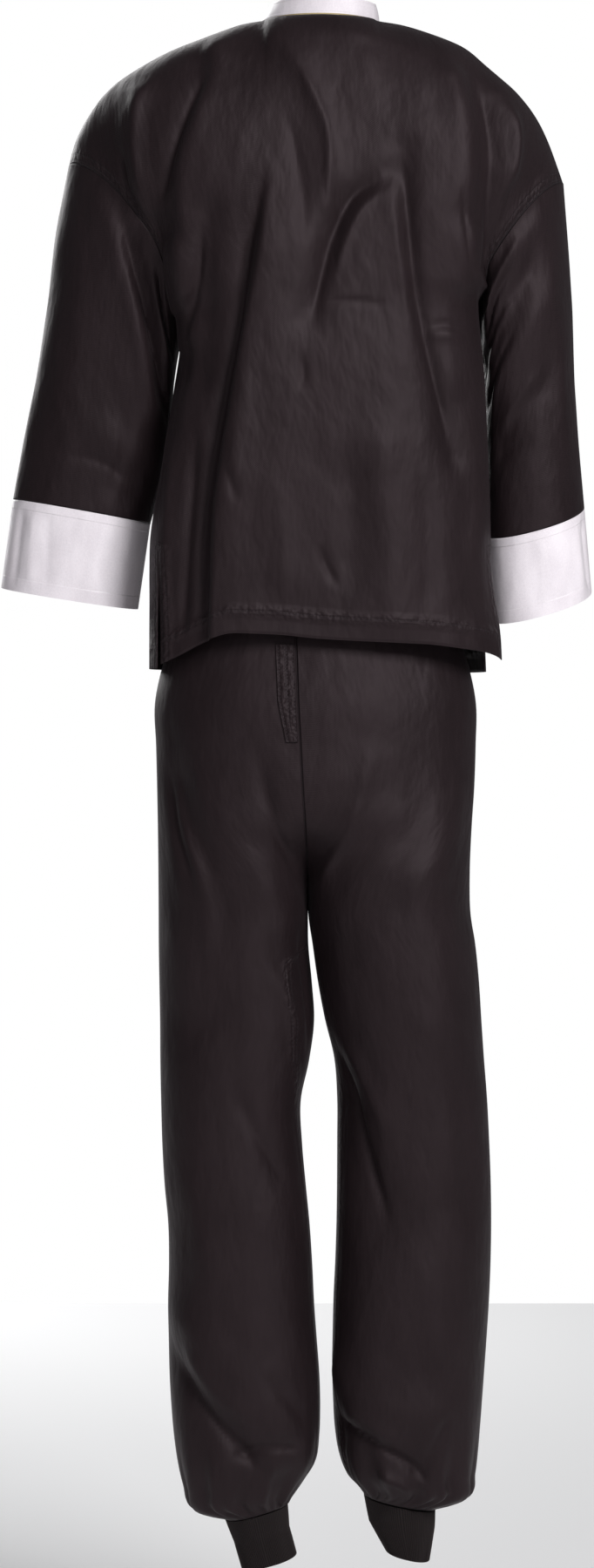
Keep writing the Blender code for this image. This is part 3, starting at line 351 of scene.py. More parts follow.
class Graph:
    """A material's node tree, with short calls that add and join its nodes."""

    def __init__(self, name: str) -> None:
        """Start a material with only its shader and output."""
        self.material = bpy.data.materials.new(name)
        self.material.use_nodes = True
        self.tree = self.material.node_tree
        self.shader = self.tree.nodes["Principled BSDF"]

    def node(self, kind: str, **settings: object) -> bpy.types.Node:
        """Add a node.

        Args:
            kind: its type.
            settings: properties to set on it.

        Returns:
            The node.
        """
        made = self.tree.nodes.new(kind)
        for name, value in settings.items():
            setattr(made, name, value)
        return made

    def feed(self, socket: Socket, value: object) -> None:
        """Join a socket to another, or set it to a number or a colour.

        Args:
            socket: the socket that is fed.
            value: another socket, a number or a colour.
        """
        if isinstance(value, Socket):
            self.tree.links.new(value, socket)
        else:
            socket.default_value = value

    def math(self, operation: str, first: object, second: object = 0.0) -> Socket:
        """Do a sum on two sockets or numbers.

        Args:
            operation: the Math node's operation.
            first: the first value.
            second: the second value.

        Returns:
            The result's socket.
        """
        made = self.node("ShaderNodeMath", operation=operation)
        self.feed(made.inputs[0], first)
        self.feed(made.inputs[1], second)
        return made.outputs[0]

    def ramp(self, value: object, low: float, high: float, start: float = 1.0, end: float = 0.0) -> Socket:
        """Turn a value smoothly from start at low to end at high.

        Args:
            value: the value.
            low: where the turn starts.
            high: where it ends.
            start: the result at low.
            end: the result at high.

        Returns:
            The result's socket.
        """
        made = self.node("ShaderNodeMapRange", interpolation_type="SMOOTHSTEP")
        for name, number in (("From Min", low), ("From Max", high), ("To Min", start), ("To Max", end)):
            made.inputs[name].default_value = number
        self.feed(made.inputs["Value"], value)
        return made.outputs[0]

    def settle(self, **values: object) -> None:
        """Set the shader's own sockets, each named with underscores for its spaces.

        Args:
            values: the numbers and colours.
        """
        for name, value in values.items():
            self.shader.inputs[name.replace("_", " ")].default_value = value

    def attribute(self, name: str) -> Socket:
        """Read one of the piece's own point attributes."""
        return self.node("ShaderNodeAttribute", attribute_name=name).outputs["Fac"]

    def on_cloth(self, scale: tuple[float, float], turn: float = 0.0) -> Socket:
        """Give coordinates along the cloth.

        Args:
            scale: repeats per metre across and along.
            turn: how far the pattern is turned, in radians.

        Returns:
            The coordinates' socket.
        """
        place = self.node("ShaderNodeTexCoord").outputs["UV"]
        made = self.node("ShaderNodeMapping")
        made.inputs["Rotation"].default_value = (0, 0, turn)
        made.inputs["Scale"].default_value = (*scale, 1)
        self.feed(made.inputs["Vector"], place)
        return made.outputs[0]

    def noise(self, place: object, detail: float = 2.0) -> Socket:
        """Give soft noise, one blot per unit.

        Args:
            place: the coordinates.
            detail: how many finer layers it has.

        Returns:
            The noise's socket.
        """
        made = self.node("ShaderNodeTexNoise")
        made.inputs["Scale"].default_value = 1.0
        made.inputs["Detail"].default_value = detail
        self.feed(made.inputs["Vector"], place)
        return made.outputs["Fac"]

    def wave(self, place: object, twist: float = 0.0) -> Socket:
        """Give even bands across the first coordinate, one per unit.

        Args:
            place: the coordinates.
            twist: how uneven the bands are.

        Returns:
            The bands' socket.
        """
        made = self.node("ShaderNodeTexWave", bands_direction="X", wave_profile="SIN")
        made.inputs["Scale"].default_value = WAVE_SCALE
        made.inputs["Distortion"].default_value = twist
        self.feed(made.inputs["Vector"], place)
        return made.outputs["Fac"]

    def line(self, distance: object, at: float, width: float) -> Socket:
        """Give 1 where a distance has a value, falling to 0 over a width to either side.

        Args:
            distance: the distance, in millimetres.
            at: where the line lies.
            width: how soon it dies away.

        Returns:
            The line's socket.
        """
        off = self.math("ABSOLUTE", self.math("SUBTRACT", distance, at))
        return self.ramp(off, 0.0, width)

    def lines(self, *wanted: tuple[object, float, float]) -> Socket:
        """Give the highest of several lines.

        Args:
            wanted: each line's distance, place and width.

        Returns:
            The lines' socket.
        """
        run = self.line(*wanted[0])
        for line in wanted[1:]:
            run = self.math("MAXIMUM", run, self.line(*line))
        return run

    def dashes(self, pitch: float, share: float) -> Socket:
        """Give the dashes of a row of stitches, whichever way it runs.

        Args:
            pitch: the stitches' length with the gap after them, in metres.
            share: how much of it is thread.

        Returns:
            1 on the thread and 0 in the gap.
        """
        split = self.node("ShaderNodeSeparateXYZ")
        self.feed(split.inputs[0], self.node("ShaderNodeTexCoord").outputs["UV"])
        run = self.math("ADD", split.outputs[0], split.outputs[1])
        beat = self.math("FRACT", self.math("DIVIDE", run, pitch))
        return self.ramp(beat, share - DASH_FADE_IN, share + DASH_FADE_OUT)

    def mixed(self, share: object, first: object, second: object) -> Socket:
        """Mix two colours.

        Args:
            share: how much of the second.
            first: the first colour.
            second: the second colour.

        Returns:
            The colour's socket.
        """
        made = self.node("ShaderNodeMix", data_type="RGBA")
        self.feed(made.inputs["Factor"], share)
        self.feed(made.inputs[6], first)
        self.feed(made.inputs[7], second)
        return made.outputs[2]

    def total(self, shares: dict[str, float], parts: dict[str, Socket]) -> Socket:
        """Add up patterns, each times its share.

        Args:
            shares: each pattern's share, by name.
            parts: the patterns.

        Returns:
            The sum's socket.
        """
        terms = [self.math("MULTIPLY", parts[name], share) for name, share in shares.items()]
        run = terms[0]
        for term in terms[1:]:
            run = self.math("ADD", run, term)
        return run

    def bump(self, relief: dict[str, float], parts: dict[str, Socket]) -> None:
        """Raise the shader's surface by patterns.

        Args:
            relief: each pattern's height in metres, by name.
            parts: the patterns.
        """
        made = self.node("ShaderNodeBump")
        made.inputs["Strength"].default_value = 1.0
        made.inputs["Distance"].default_value = 1.0
        self.feed(made.inputs["Height"], self.total(relief, parts))
        self.feed(self.shader.inputs["Normal"], made.outputs[0])


def named(**values: float) -> dict[str, float]:
    """Give a finish's field of named numbers its default."""
    return field(default_factory=lambda: dict(values))


@dataclass(frozen=True)
class Twill:
    """Black cotton twill with a soft sheen, its seams topstitched and its hems turned up, and painted shade
    darkening its seam grooves and stitch channels.

    Places and widths of lines are in millimetres from the seam or hem, patterns in repeats per metre and
    the relief's heights in metres.
    """

    name: str = "black_twill"
    dark: Colour = (0.0092, 0.0054, 0.0062, 1.0)
    light: Colour = (0.0172, 0.0110, 0.0126, 1.0)
    thread: Colour = (0.034, 0.026, 0.029, 1.0)
    # Painted shade: the near-black colour laid into the seam grooves and the stitch channels.
    painted_shade: Colour = (0.004, 0.003, 0.0035, 1.0)
    specular_tint: Colour = (1.0, 0.84, 0.90, 1.0)
    sheen_tint: Colour = (0.80, 0.70, 0.76, 1.0)
    roughness: float = 0.43
    specular: float = 0.22
    sheen: float = 0.03
    sheen_roughness: float = 0.45
    stitch_rows: tuple[float, float] = (3.0, 9.0)
    hem_row: float = 21.0
    stitch_pitch: float = 0.0032
    stitch_share: float = 0.62
    thread_width: float = 0.8
    channel_width: float = 2.2
    hem_channel_width: float = 2.4
    groove_width: float = 1.6
    edge_width: float = 3.0
    pucker_at: float = 6.0
    pucker_width: float = 13.0
    hem_pucker_width: float = 9.0
    pucker_scale: tuple[float, float] = (150, 150)
    weave_scale: tuple[float, float] = (820, 820)
    weave_turn: float = math.radians(58)
    weave_twist: float = 0.4
    grain_scale: tuple[float, float] = (900, 900)
    slub_scale: tuple[float, float] = (300, 60)
    soft_scale: tuple[float, float] = (34, 15)
    broad_scale: tuple[float, float] = (11, 7)
    relief: dict[str, float] = named(
        thread=0.00022, channel=-0.00045, groove=-0.0014, pucker=0.0028, edge=-0.0006,
        weave=0.00005, grain=0.00007, slub=0.00006, soft=0.0034, broad=0.0065,
    )
    tone: dict[str, float] = named(broad=0.7, slub=0.25, grain=0.35)
    tone_range: tuple[float, float] = (0.35, 0.95)
    rough: dict[str, float] = named(broad=0.16, grain=0.10)
    thread_cover: float = 0.7
    channel_shade: float = 0.35
    shade_depth: float = 0.6

    def patterns(self, graph: Graph) -> dict[str, Socket]:
        """Lay out the cloth's patterns and the lines of its seams and hems.

        Args:
            graph: the material that they belong to.

        Returns:
            Each pattern's socket, by name.
        """
        seam, stitch, hem = (graph.attribute(name) for name in ("seam", "stitch", "hem"))
        near, far = self.stitch_rows
        rows = graph.lines(
            (stitch, near, self.thread_width), (stitch, far, self.thread_width),
            (hem, self.hem_row, self.thread_width),
        )
        channel = graph.lines(
            (stitch, near, self.channel_width), (stitch, far, self.channel_width),
            (hem, self.hem_row, self.hem_channel_width),
        )
        puckered = graph.lines(
            (stitch, self.pucker_at, self.pucker_width), (hem, self.hem_row, self.hem_pucker_width)
        )
        crumple = graph.noise(graph.on_cloth(self.pucker_scale), 1.0)
        dashes = graph.dashes(self.stitch_pitch, self.stitch_share)
        return {
            "thread": graph.math("MULTIPLY", rows, dashes),
            "channel": channel,
            "groove": graph.line(seam, 0.0, self.groove_width),
            "pucker": graph.math("MULTIPLY", puckered, crumple),
            "edge": graph.line(hem, 0.0, self.edge_width),
            "weave": graph.wave(graph.on_cloth(self.weave_scale, self.weave_turn), self.weave_twist),
            "grain": graph.noise(graph.on_cloth(self.grain_scale), 1.0),
            "slub": graph.noise(graph.on_cloth(self.slub_scale), 2.0),
            "soft": graph.noise(graph.on_cloth(self.soft_scale), 3.0),
            "broad": graph.noise(graph.on_cloth(self.broad_scale), 2.0),
        }

    def material(self) -> Material:
        """Build the finish's nodes."""
        graph = Graph(self.name)
        parts = self.patterns(graph)
        graph.bump(self.relief, parts)
        tone = graph.ramp(graph.total(self.tone, parts), *self.tone_range, 0.0, 1.0)
        colour = graph.mixed(tone, self.dark, self.light)
        thread = graph.math("MULTIPLY", parts["thread"], self.thread_cover)
        colour = graph.mixed(thread, colour, self.thread)
        # Painted shade: the seam grooves and stitch channels are darkened towards a near-black colour.
        channel = graph.math("MULTIPLY", parts["channel"], self.channel_shade)
        shade = graph.math("MAXIMUM", parts["groove"], channel)
        colour = graph.mixed(graph.math("MULTIPLY", shade, self.shade_depth), colour, self.painted_shade)
        graph.feed(graph.shader.inputs["Base Color"], colour)
        rough = graph.math("ADD", graph.total(self.rough, parts), self.roughness)
        graph.feed(graph.shader.inputs["Roughness"], rough)
        graph.settle(
            Specular_IOR_Level=self.specular, Specular_Tint=self.specular_tint,
            Sheen_Weight=self.sheen, Sheen_Roughness=self.sheen_roughness, Sheen_Tint=self.sheen_tint,
        )
        return graph.material


@dataclass(frozen=True)
class Satin:
    """White cotton satin, with the turned-in edges showing as narrow bands.

    Places and widths of lines are in millimetres from the seam or hem, patterns in repeats per metre and
    the relief's heights in metres.
    """

    name: str = "white_satin"
    dark: Colour = (0.80, 0.74, 0.79, 1.0)
    light: Colour = (0.93, 0.87, 0.92, 1.0)
    thread: Colour = (0.05, 0.045, 0.05, 1.0)
    piping: Colour = (0.62, 0.50, 0.26, 1.0)
    roughness: float = 0.36
    sheen: float = 0.1
    sheen_roughness: float = 0.4
    top_band: float = 8.4
    low_band: float = 12.6
    band_fade: float = 0.6
    stitch_rows: tuple[float, float] = (7.0, 12.0)
    stitch_pitch: float = 0.0030
    stitch_share: float = 0.7
    thread_width: float = 0.8
    dark_stitches: float = 0.8
    groove_width: float = 1.5
    piping_width: float = 0.0
    piping_fade: float = 0.3
    weave_scale: tuple[float, float] = (900, 900)
    weave_turn: float = math.radians(30)
    weave_twist: float = 0.3
    grain_scale: tuple[float, float] = (700, 500)
    soft_scale: tuple[float, float] = (36, 16)
    relief: dict[str, float] = named(
        thread=0.0002, rows=-0.0003, bands=0.00035, groove=-0.0009, weave=0.00003, grain=0.00003,
        soft=0.0016,
    )
    tone: dict[str, float] = named(soft=0.7, grain=0.3)
    tone_range: tuple[float, float] = (0.3, 0.7)
    rough: dict[str, float] = named(soft=0.12)

    def patterns(self, graph: Graph) -> dict[str, Socket]:
        """Lay out the cloth's patterns and the lines of its seams and hems.

        Args:
            graph: the material that they belong to.

        Returns:
            Each pattern's socket, by name.
        """
        seam, stitch, hem = (graph.attribute(name) for name in ("seam", "stitch", "hem"))
        rows = graph.lines(*[(stitch, row, self.thread_width) for row in self.stitch_rows])
        bands = [
            graph.ramp(edge, band - self.band_fade, band + self.band_fade)
            for edge, band in ((seam, self.top_band), (hem, self.low_band))
        ]
        dashes = graph.dashes(self.stitch_pitch, self.stitch_share)
        return {
            "seam": seam,
            "rows": rows,
            "thread": graph.math("MULTIPLY", rows, dashes),
            "bands": graph.math("ADD", *bands),
            "groove": graph.line(seam, 0.0, self.groove_width),
            "weave": graph.wave(graph.on_cloth(self.weave_scale, self.weave_turn), self.weave_twist),
            "grain": graph.noise(graph.on_cloth(self.grain_scale), 1.0),
            "soft": graph.noise(graph.on_cloth(self.soft_scale), 3.0),
        }

    def material(self) -> Material:
        """Build the finish's nodes."""
        graph = Graph(self.name)
        parts = self.patterns(graph)
        graph.bump(self.relief, parts)
        tone = graph.ramp(graph.total(self.tone, parts), *self.tone_range, 0.0, 1.0)
        colour = graph.mixed(tone, self.dark, self.light)
        if self.dark_stitches:
            thread = graph.math("MULTIPLY", parts["thread"], self.dark_stitches)
            colour = graph.mixed(thread, colour, self.thread)
        if self.piping_width:
            trim = graph.ramp(parts["seam"], self.piping_width, self.piping_width + self.piping_fade)
            colour = graph.mixed(trim, colour, self.piping)
        graph.feed(graph.shader.inputs["Base Color"], colour)
        rough = graph.math("ADD", graph.total(self.rough, parts), self.roughness)
        graph.feed(graph.shader.inputs["Roughness"], rough)
        graph.settle(Sheen_Weight=self.sheen, Sheen_Roughness=self.sheen_roughness)
        return graph.material


@dataclass(frozen=True)
class Knit:
    """Black knitted rib, with a row of stitches every millimetre and a half, and painted shade in the
    valleys between its ribs and rows.
    """

    name: str = "black_rib_knit"
    dark: Colour = (0.0050, 0.0036, 0.0038, 1.0)
    light: Colour = (0.0200, 0.0150, 0.0155, 1.0)
    sheen_tint: Colour = (0.85, 0.72, 0.72, 1.0)
    roughness: float = 0.88
    specular: float = 0.15
    sheen: float = 0.08
    sheen_roughness: float = 0.5
    course_scale: tuple[float, float] = (640, 900)
    course_turn: float = math.radians(90)
    course_twist: float = 0.8
    fuzz_scale: tuple[float, float] = (1200, 1200)
    relief: dict[str, float] = named(courses=0.00016, fuzz=0.00014)
    # Painted shade: the rib and course patterns darken the colour in the valleys between ribs and rows; the
    # fuzz gives random tone.
    tone: dict[str, float] = named(rib=0.55, fuzz=0.35, courses=0.1)
    tone_range: tuple[float, float] = (0.1, 0.9)

    def material(self) -> Material:
        """Build the finish's nodes."""
        graph = Graph(self.name)
        parts = {
            "courses": graph.wave(graph.on_cloth(self.course_scale, self.course_turn), self.course_twist),
            "fuzz": graph.noise(graph.on_cloth(self.fuzz_scale), 2.0),
            "rib": graph.attribute("rib"),
        }
        graph.bump(self.relief, parts)
        # Painted shade in the rib and course valleys, mixed with random tone from the fuzz.
        tone = graph.ramp(graph.total(self.tone, parts), *self.tone_range, 0.0, 1.0)
        graph.feed(graph.shader.inputs["Base Color"], graph.mixed(tone, self.dark, self.light))
        graph.settle(
            Roughness=self.roughness, Specular_IOR_Level=self.specular, Sheen_Weight=self.sheen,
            Sheen_Roughness=self.sheen_roughness, Sheen_Tint=self.sheen_tint,
        )
        return graph.material


@dataclass(frozen=True)
class Cord:
    """White satin bias cord, wound with a slight diagonal, with painted shade in the grooves of its
    winding.
    """

    name: str = "white_cord"
    dark: Colour = (0.66, 0.62, 0.65, 1.0)
    light: Colour = (0.86, 0.82, 0.85, 1.0)
    roughness: float = 0.45
    sheen: float = 0.1
    turn: tuple[float, float, float] = (0.3, 0.6, 0.8)
    scale: tuple[float, float, float] = (900, 900, 900)
    twist: float = 0.6
    relief: dict[str, float] = named(winding=0.00010, fuzz=0.00006)

    def material(self) -> Material:
        """Build the finish's nodes."""
        graph = Graph(self.name)
        place = graph.node("ShaderNodeTexCoord").outputs["Object"]
        turned = graph.node("ShaderNodeMapping")
        turned.inputs["Rotation"].default_value = self.turn
        turned.inputs["Scale"].default_value = self.scale
        graph.feed(turned.inputs["Vector"], place)
        winding = graph.wave(turned.outputs[0], self.twist)
        graph.bump(self.relief, {"winding": winding, "fuzz": graph.noise(turned.outputs[0])})
        # Painted shade: the winding's grooves take the darker colour.
        graph.feed(graph.shader.inputs["Base Color"], graph.mixed(winding, self.dark, self.light))
        graph.settle(Roughness=self.roughness, Sheen_Weight=self.sheen)
        return graph.material


@dataclass
class Piece:
    """One cut piece of cloth: a grid of outer points in millimetres, and how it is sewn."""

    name: str
    points: np.ndarray
    material: Material
    slot: str
    nodes: tuple[str, ...]
    around: bool = False
    flipped: bool = False
    thick: float = 0.9
    sewn: tuple[Edge, ...] = ()
    free: tuple[Edge, ...] = ()
    stitched: np.ndarray | None = None
    open_seam: np.ndarray | None = None
    extra: dict[str, np.ndarray] = field(default_factory=dict)

    def arcs(self) -> tuple[np.ndarray, np.ndarray]:
        """Give lengths along the rows and up the columns, from the first point of each.

        Returns:
            The lengths along and the lengths up, at each point.
        """
        across = np.linalg.norm(np.diff(self.points, axis=1), axis=-1)
        up = np.linalg.norm(np.diff(self.points, axis=0), axis=-1)
        return (
            np.pad(np.cumsum(across, axis=1), ((0, 0), (1, 0))),
            np.pad(np.cumsum(up, axis=0), ((1, 0), (0, 0))),
        )

    def distance(self, edges: tuple[Edge, ...]) -> np.ndarray:
        """Give the distance from the nearest of some edges, along rows and columns.

        Args:
            edges: the edges.

        Returns:
            The distance at each point, in millimetres.
        """
        across, up = self.arcs()
        reach = {
            Edge.FIRST: across,
            Edge.LAST: across[:, -1:] - across,
            Edge.BOTTOM: up,
            Edge.TOP: up[-1:] - up,
        }
        nearest = np.full(across.shape, FAR)
        for edge in edges:
            nearest = np.minimum(nearest, reach[edge])
        return nearest

    def faces(self) -> tuple[np.ndarray, np.ndarray, np.ndarray]:
        """Give the closed shell's quads.

        Returns:
            Quads of numbered places, the vertex at each place, and the place's cell in the grid.
        """
        rows, columns = self.points.shape[:2]
        place = np.arange(rows * columns).reshape(rows, columns)
        vertex = place.copy()
        if self.around:
            vertex = np.arange(rows * (columns - 1)).reshape(rows, columns - 1)
            vertex = np.concatenate([vertex, vertex[:, :1]], axis=1)
        shift = rows * columns
        inner = place + shift
        quads = [
            np.stack([place[:-1, :-1], place[:-1, 1:], place[1:, 1:], place[1:, :-1]], -1).reshape(-1, 4),
            np.stack([inner[:-1, :-1], inner[1:, :-1], inner[1:, 1:], inner[:-1, 1:]], -1).reshape(-1, 4),
            np.stack([place[0, 1:], place[0, :-1], inner[0, :-1], inner[0, 1:]], -1),
            np.stack([place[-1, :-1], place[-1, 1:], inner[-1, 1:], inner[-1, :-1]], -1),
        ]
        if not self.around:
            quads.append(np.stack([place[:-1, 0], place[1:, 0], inner[1:, 0], inner[:-1, 0]], -1))
            quads.append(np.stack([place[1:, -1], place[:-1, -1], inner[:-1, -1], inner[1:, -1]], -1))
        quads = np.concatenate(quads)
        if self.flipped:
            quads = quads[:, ::-1]
        vertex = vertex.reshape(-1)
        vertex = np.concatenate([vertex, vertex + vertex.max() + 1])
        return quads, vertex, np.tile(place.reshape(-1), 2)

    def build(self) -> None:
        """Build the shell with its cloth coordinates and its distances from seams and hems."""
        normals = grid_normals(self.points, self.around) * (-1 if self.flipped else 1)
        inner = self.points - normals * self.thick
        kept = slice(None, -1) if self.around else slice(None)
        vertices = np.concatenate([self.points[:, kept].reshape(-1, 3), inner[:, kept].reshape(-1, 3)])
        quads, vertex, place = self.faces()
        mesh = bpy.data.meshes.new(self.name)
        mesh.from_pydata((vertices * MM).tolist(), [], vertex[quads].tolist())
        across, up = self.arcs()
        middle = across[:, across.shape[1] // 2][:, None]
        cloth = np.stack([across - middle, up], axis=-1).reshape(-1, 2) * MM
        layer = mesh.uv_layers.new(name="cloth")
        layer.data.foreach_set("uv", cloth[place[quads.reshape(-1)]].reshape(-1).astype(np.float32))
        seam = self.distance(self.sewn) + (0 if self.open_seam is None else self.open_seam)
        stitched = np.full(seam.shape, FAR) if self.stitched is None else self.stitched
        values = {"seam": seam, "stitch": stitched, "hem": self.distance(self.free), **self.extra}
        for name, grid in values.items():
            data = np.tile(grid[:, kept].reshape(-1), 2).astype(np.float32)
            mesh.attributes.new(name, "FLOAT", "POINT").data.foreach_set("value", data)
        mesh.shade_smooth()
        mesh.set_sharp_from_angle(angle=SHARP_ANGLE)
        mesh.materials.append(self.material)
        piece = bpy.data.objects.new(self.name, mesh)
        bpy.context.scene.collection.objects.link(piece)
        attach(piece, BODY)
        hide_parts(*self.nodes)
        LOG.info("%s: %d faces", self.name, len(quads))


@dataclass
class Sleeve:
    """A loose straight sleeve with its white turned cuff."""

    side: str
    rows: tuple[SleeveRow, ...]
    tip: tuple[float, float, float]
    folds: tuple[Fold, ...]
    fine_folds: tuple[Fold, ...]
    cuff_folds: tuple[Fold, ...]
    power: float = 2.2
    cells: int = 13
    half_cells: int = 12
    cuff_cells: int = 2
    row_steps: int = 8
    column_steps: int = 6
    clearance: float = 5.0
    reach: float = 28.0
    fine_gain: float = 1.4
    seam_fade: float = 1.6
    length: float = 180.0
    cuff_length: float = 70.0

    def rings(self, stations: np.ndarray, angle: np.ndarray) -> np.ndarray:
        """Give sections from station 0, the armhole, to the last row; angle 0 is the outer edge.

        Args:
            stations: places down the sleeve, in rows of its table.
            angle: places round it, in radians.

        Returns:
            The grid of points.
        """
        places = np.arange(len(self.rows))

        def read(name: str) -> np.ndarray:
            """Read a column of the table at the stations."""
            return np.interp(stations, places, [getattr(row, name) for row in self.rows])[:, None]

        outer = np.concatenate([read("outer_x"), 0 * read("outer_x"), read("outer_z")], axis=1)
        inner = np.concatenate([read("inner_x"), 0 * read("inner_x"), read("inner_z")], axis=1)
        middle = (outer + inner) / 2
        middle[:, 1] += read("middle_y")[:, 0]
        across = (outer - inner) / 2
        turn = np.stack([-across[:, 2], 0 * across[:, 0], across[:, 0]], axis=1)
        turn = unit(turn) * np.sign(across[:, :1])
        cos, sin = power_circle(angle, self.power)
        deep = np.array([0.0, 1.0, 0.0])
        rise = np.array([0.0, 0.0, 1.0])
        return (
            middle[:, None]
            + across[:, None] * cos[None, :, None]
            + deep * (read("half_depth") * sin[None])[..., None]
            - rise * (read("pitch") * sin[None])[..., None]
            + turn[:, None] * (read("bow") * np.abs(sin[None]) ** 1.5)[..., None]
        )

    def last(self) -> int:
        """Give the station where the sleeve ends and its cuff starts."""
        return len(self.rows) - 2

    def plain(self, seam: tuple[np.ndarray, np.ndarray]) -> np.ndarray:
        """Give the coarse sleeve without its folds, held to the armhole's seam.

        Args:
            seam: the armhole's seam, up the back and up the front.

        Returns:
            The grid.
        """
        back, front = seam
        loop = np.concatenate([back, front[::-1][1:]])
        angle = np.linspace(math.pi, -math.pi, 2 * self.half_cells + 1)
        stations = np.linspace(0, self.last(), self.cells + 1)
        points = self.rings(stations, angle)
        fade = (1 - smooth(stations / self.seam_fade))[:, None, None]
        points += (loop - points[0])[None] * fade
        points[:, -1] = points[:, 0]
        return points

    def folded(self, points: np.ndarray, folds: tuple[Fold, ...], length: float, ends: float) -> np.ndarray:
        """Raise folds given by degrees round and share of the length.

        Args:
            points: the grid.
            folds: the folds.
            length: what the share is measured against.
            ends: how steeply folds die away at both ends.

        Returns:
            The grid with its folds.
        """
        rows, columns = points.shape[:2]
        degrees = np.linspace(180, -180, columns) % 360
        share = np.linspace(0, 1, rows)
        around, down = np.meshgrid(degrees, share)
        scaled = tuple(
            fold._replace(route=tuple((a, t * length) for a, t in fold.route)) for fold in folds
        )
        heights = fold_heights(around, down * length, scaled)
        heights *= smooth(down * ends) * smooth((1 - down) * ends)
        outward = unit(points - points.mean(axis=1, keepdims=True))
        moved = points + outward * heights[..., None]
        moved[:, -1] = moved[:, 0]
        return moved

    def kept_clear(self, sleeve: np.ndarray, bodies: tuple[np.ndarray, ...]) -> np.ndarray:
        """Push the sleeve's rows off the body wherever they come nearer than they should.

        Args:
            sleeve: the coarse sleeve.
            bodies: the jacket's coarse grids.

        Returns:
            The sleeve, moved.
        """
        places, normals = [], []
        for body in bodies:
            fine = splined(splined(body, 5, 0), 5, 1)
            places.append(fine.reshape(-1, 3))
            normals.append(-grid_normals(fine).reshape(-1, 3))
        places, normals = np.concatenate(places), np.concatenate(normals)
        moved = sleeve.copy()
        for i in range(1, len(sleeve)):
            wanted = self.clearance * min(1.0, i / 2.0)
            for j in range(sleeve.shape[1] - 1):
                offset = moved[i, j] - places
                nearest = np.argmin((offset**2).sum(axis=1))
                height = float(offset[nearest] @ normals[nearest])
                distance = float(np.linalg.norm(offset[nearest]))
                beyond_edge = distance > self.clearance * 1.6 and abs(height) < distance / 2
                if distance < self.reach and height < wanted and not beyond_edge:
                    moved[i, j] += normals[nearest] * (wanted - height)
        moved[:, -1] = moved[:, 0]
        return moved

    def fine(self, coarse: np.ndarray, row_steps: int) -> np.ndarray:
        """Give a coarse grid at its full number of rows and columns."""
        return splined(splined(coarse, row_steps, 0), self.column_steps, 1, closed=True)

    def build(self, seam: tuple, bodies: tuple, twill: Material, satin: Material) -> None:
        """Build the sleeve and its cuff.

        Args:
            seam: the armhole's seam, up the back and up the front.
            bodies: the jacket's coarse grids, which the sleeve stays clear of.
            twill: the sleeve's finish.
            satin: the cuff's finish.
        """
        coarse = self.plain(seam)
        creased = self.folded(coarse, self.folds, self.length, 5.0)
        coarse = coarse + self.kept_clear(creased, bodies) - creased
        small = tuple(fold._replace(height=fold.height * self.fine_gain) for fold in self.fine_folds)
        sleeve = self.folded(self.fine(coarse, self.row_steps), self.folds + small, self.length, 9.0)
        angle = np.linspace(math.pi, -math.pi, 2 * self.half_cells + 1)
        cuff = self.rings(np.linspace(self.last(), self.last() + 1, self.cuff_cells + 1), angle)
        cuff[0] = coarse[-1]
        cuff[:, -1] = cuff[:, 0]
        cuff = self.fine(cuff, 2 * self.row_steps)
        cuff = self.folded(cuff, self.cuff_folds, self.cuff_length, 4.0)
        left = self.side == "left"
        piece = Piece(
            f"sleeve_{self.side}_cloth", sleeve, twill, "black_cloth", (f"sleeve_{self.side}",),
            around=True, flipped=not left, sewn=(Edge.FIRST, Edge.LAST, Edge.BOTTOM, Edge.TOP),
        )
        piece.stitched = piece.distance((Edge.FIRST, Edge.LAST)) - 4.0
        piece.build()
        band = Piece(
            f"cuff_{self.side}_cloth", cuff, satin, "white_cloth", (f"cuff_{self.side}",),
            around=True, flipped=not left, sewn=(Edge.BOTTOM,), free=(Edge.TOP,), thick=1.0,
        )
        band.stitched = band.distance((Edge.FIRST, Edge.LAST))
        band.build()


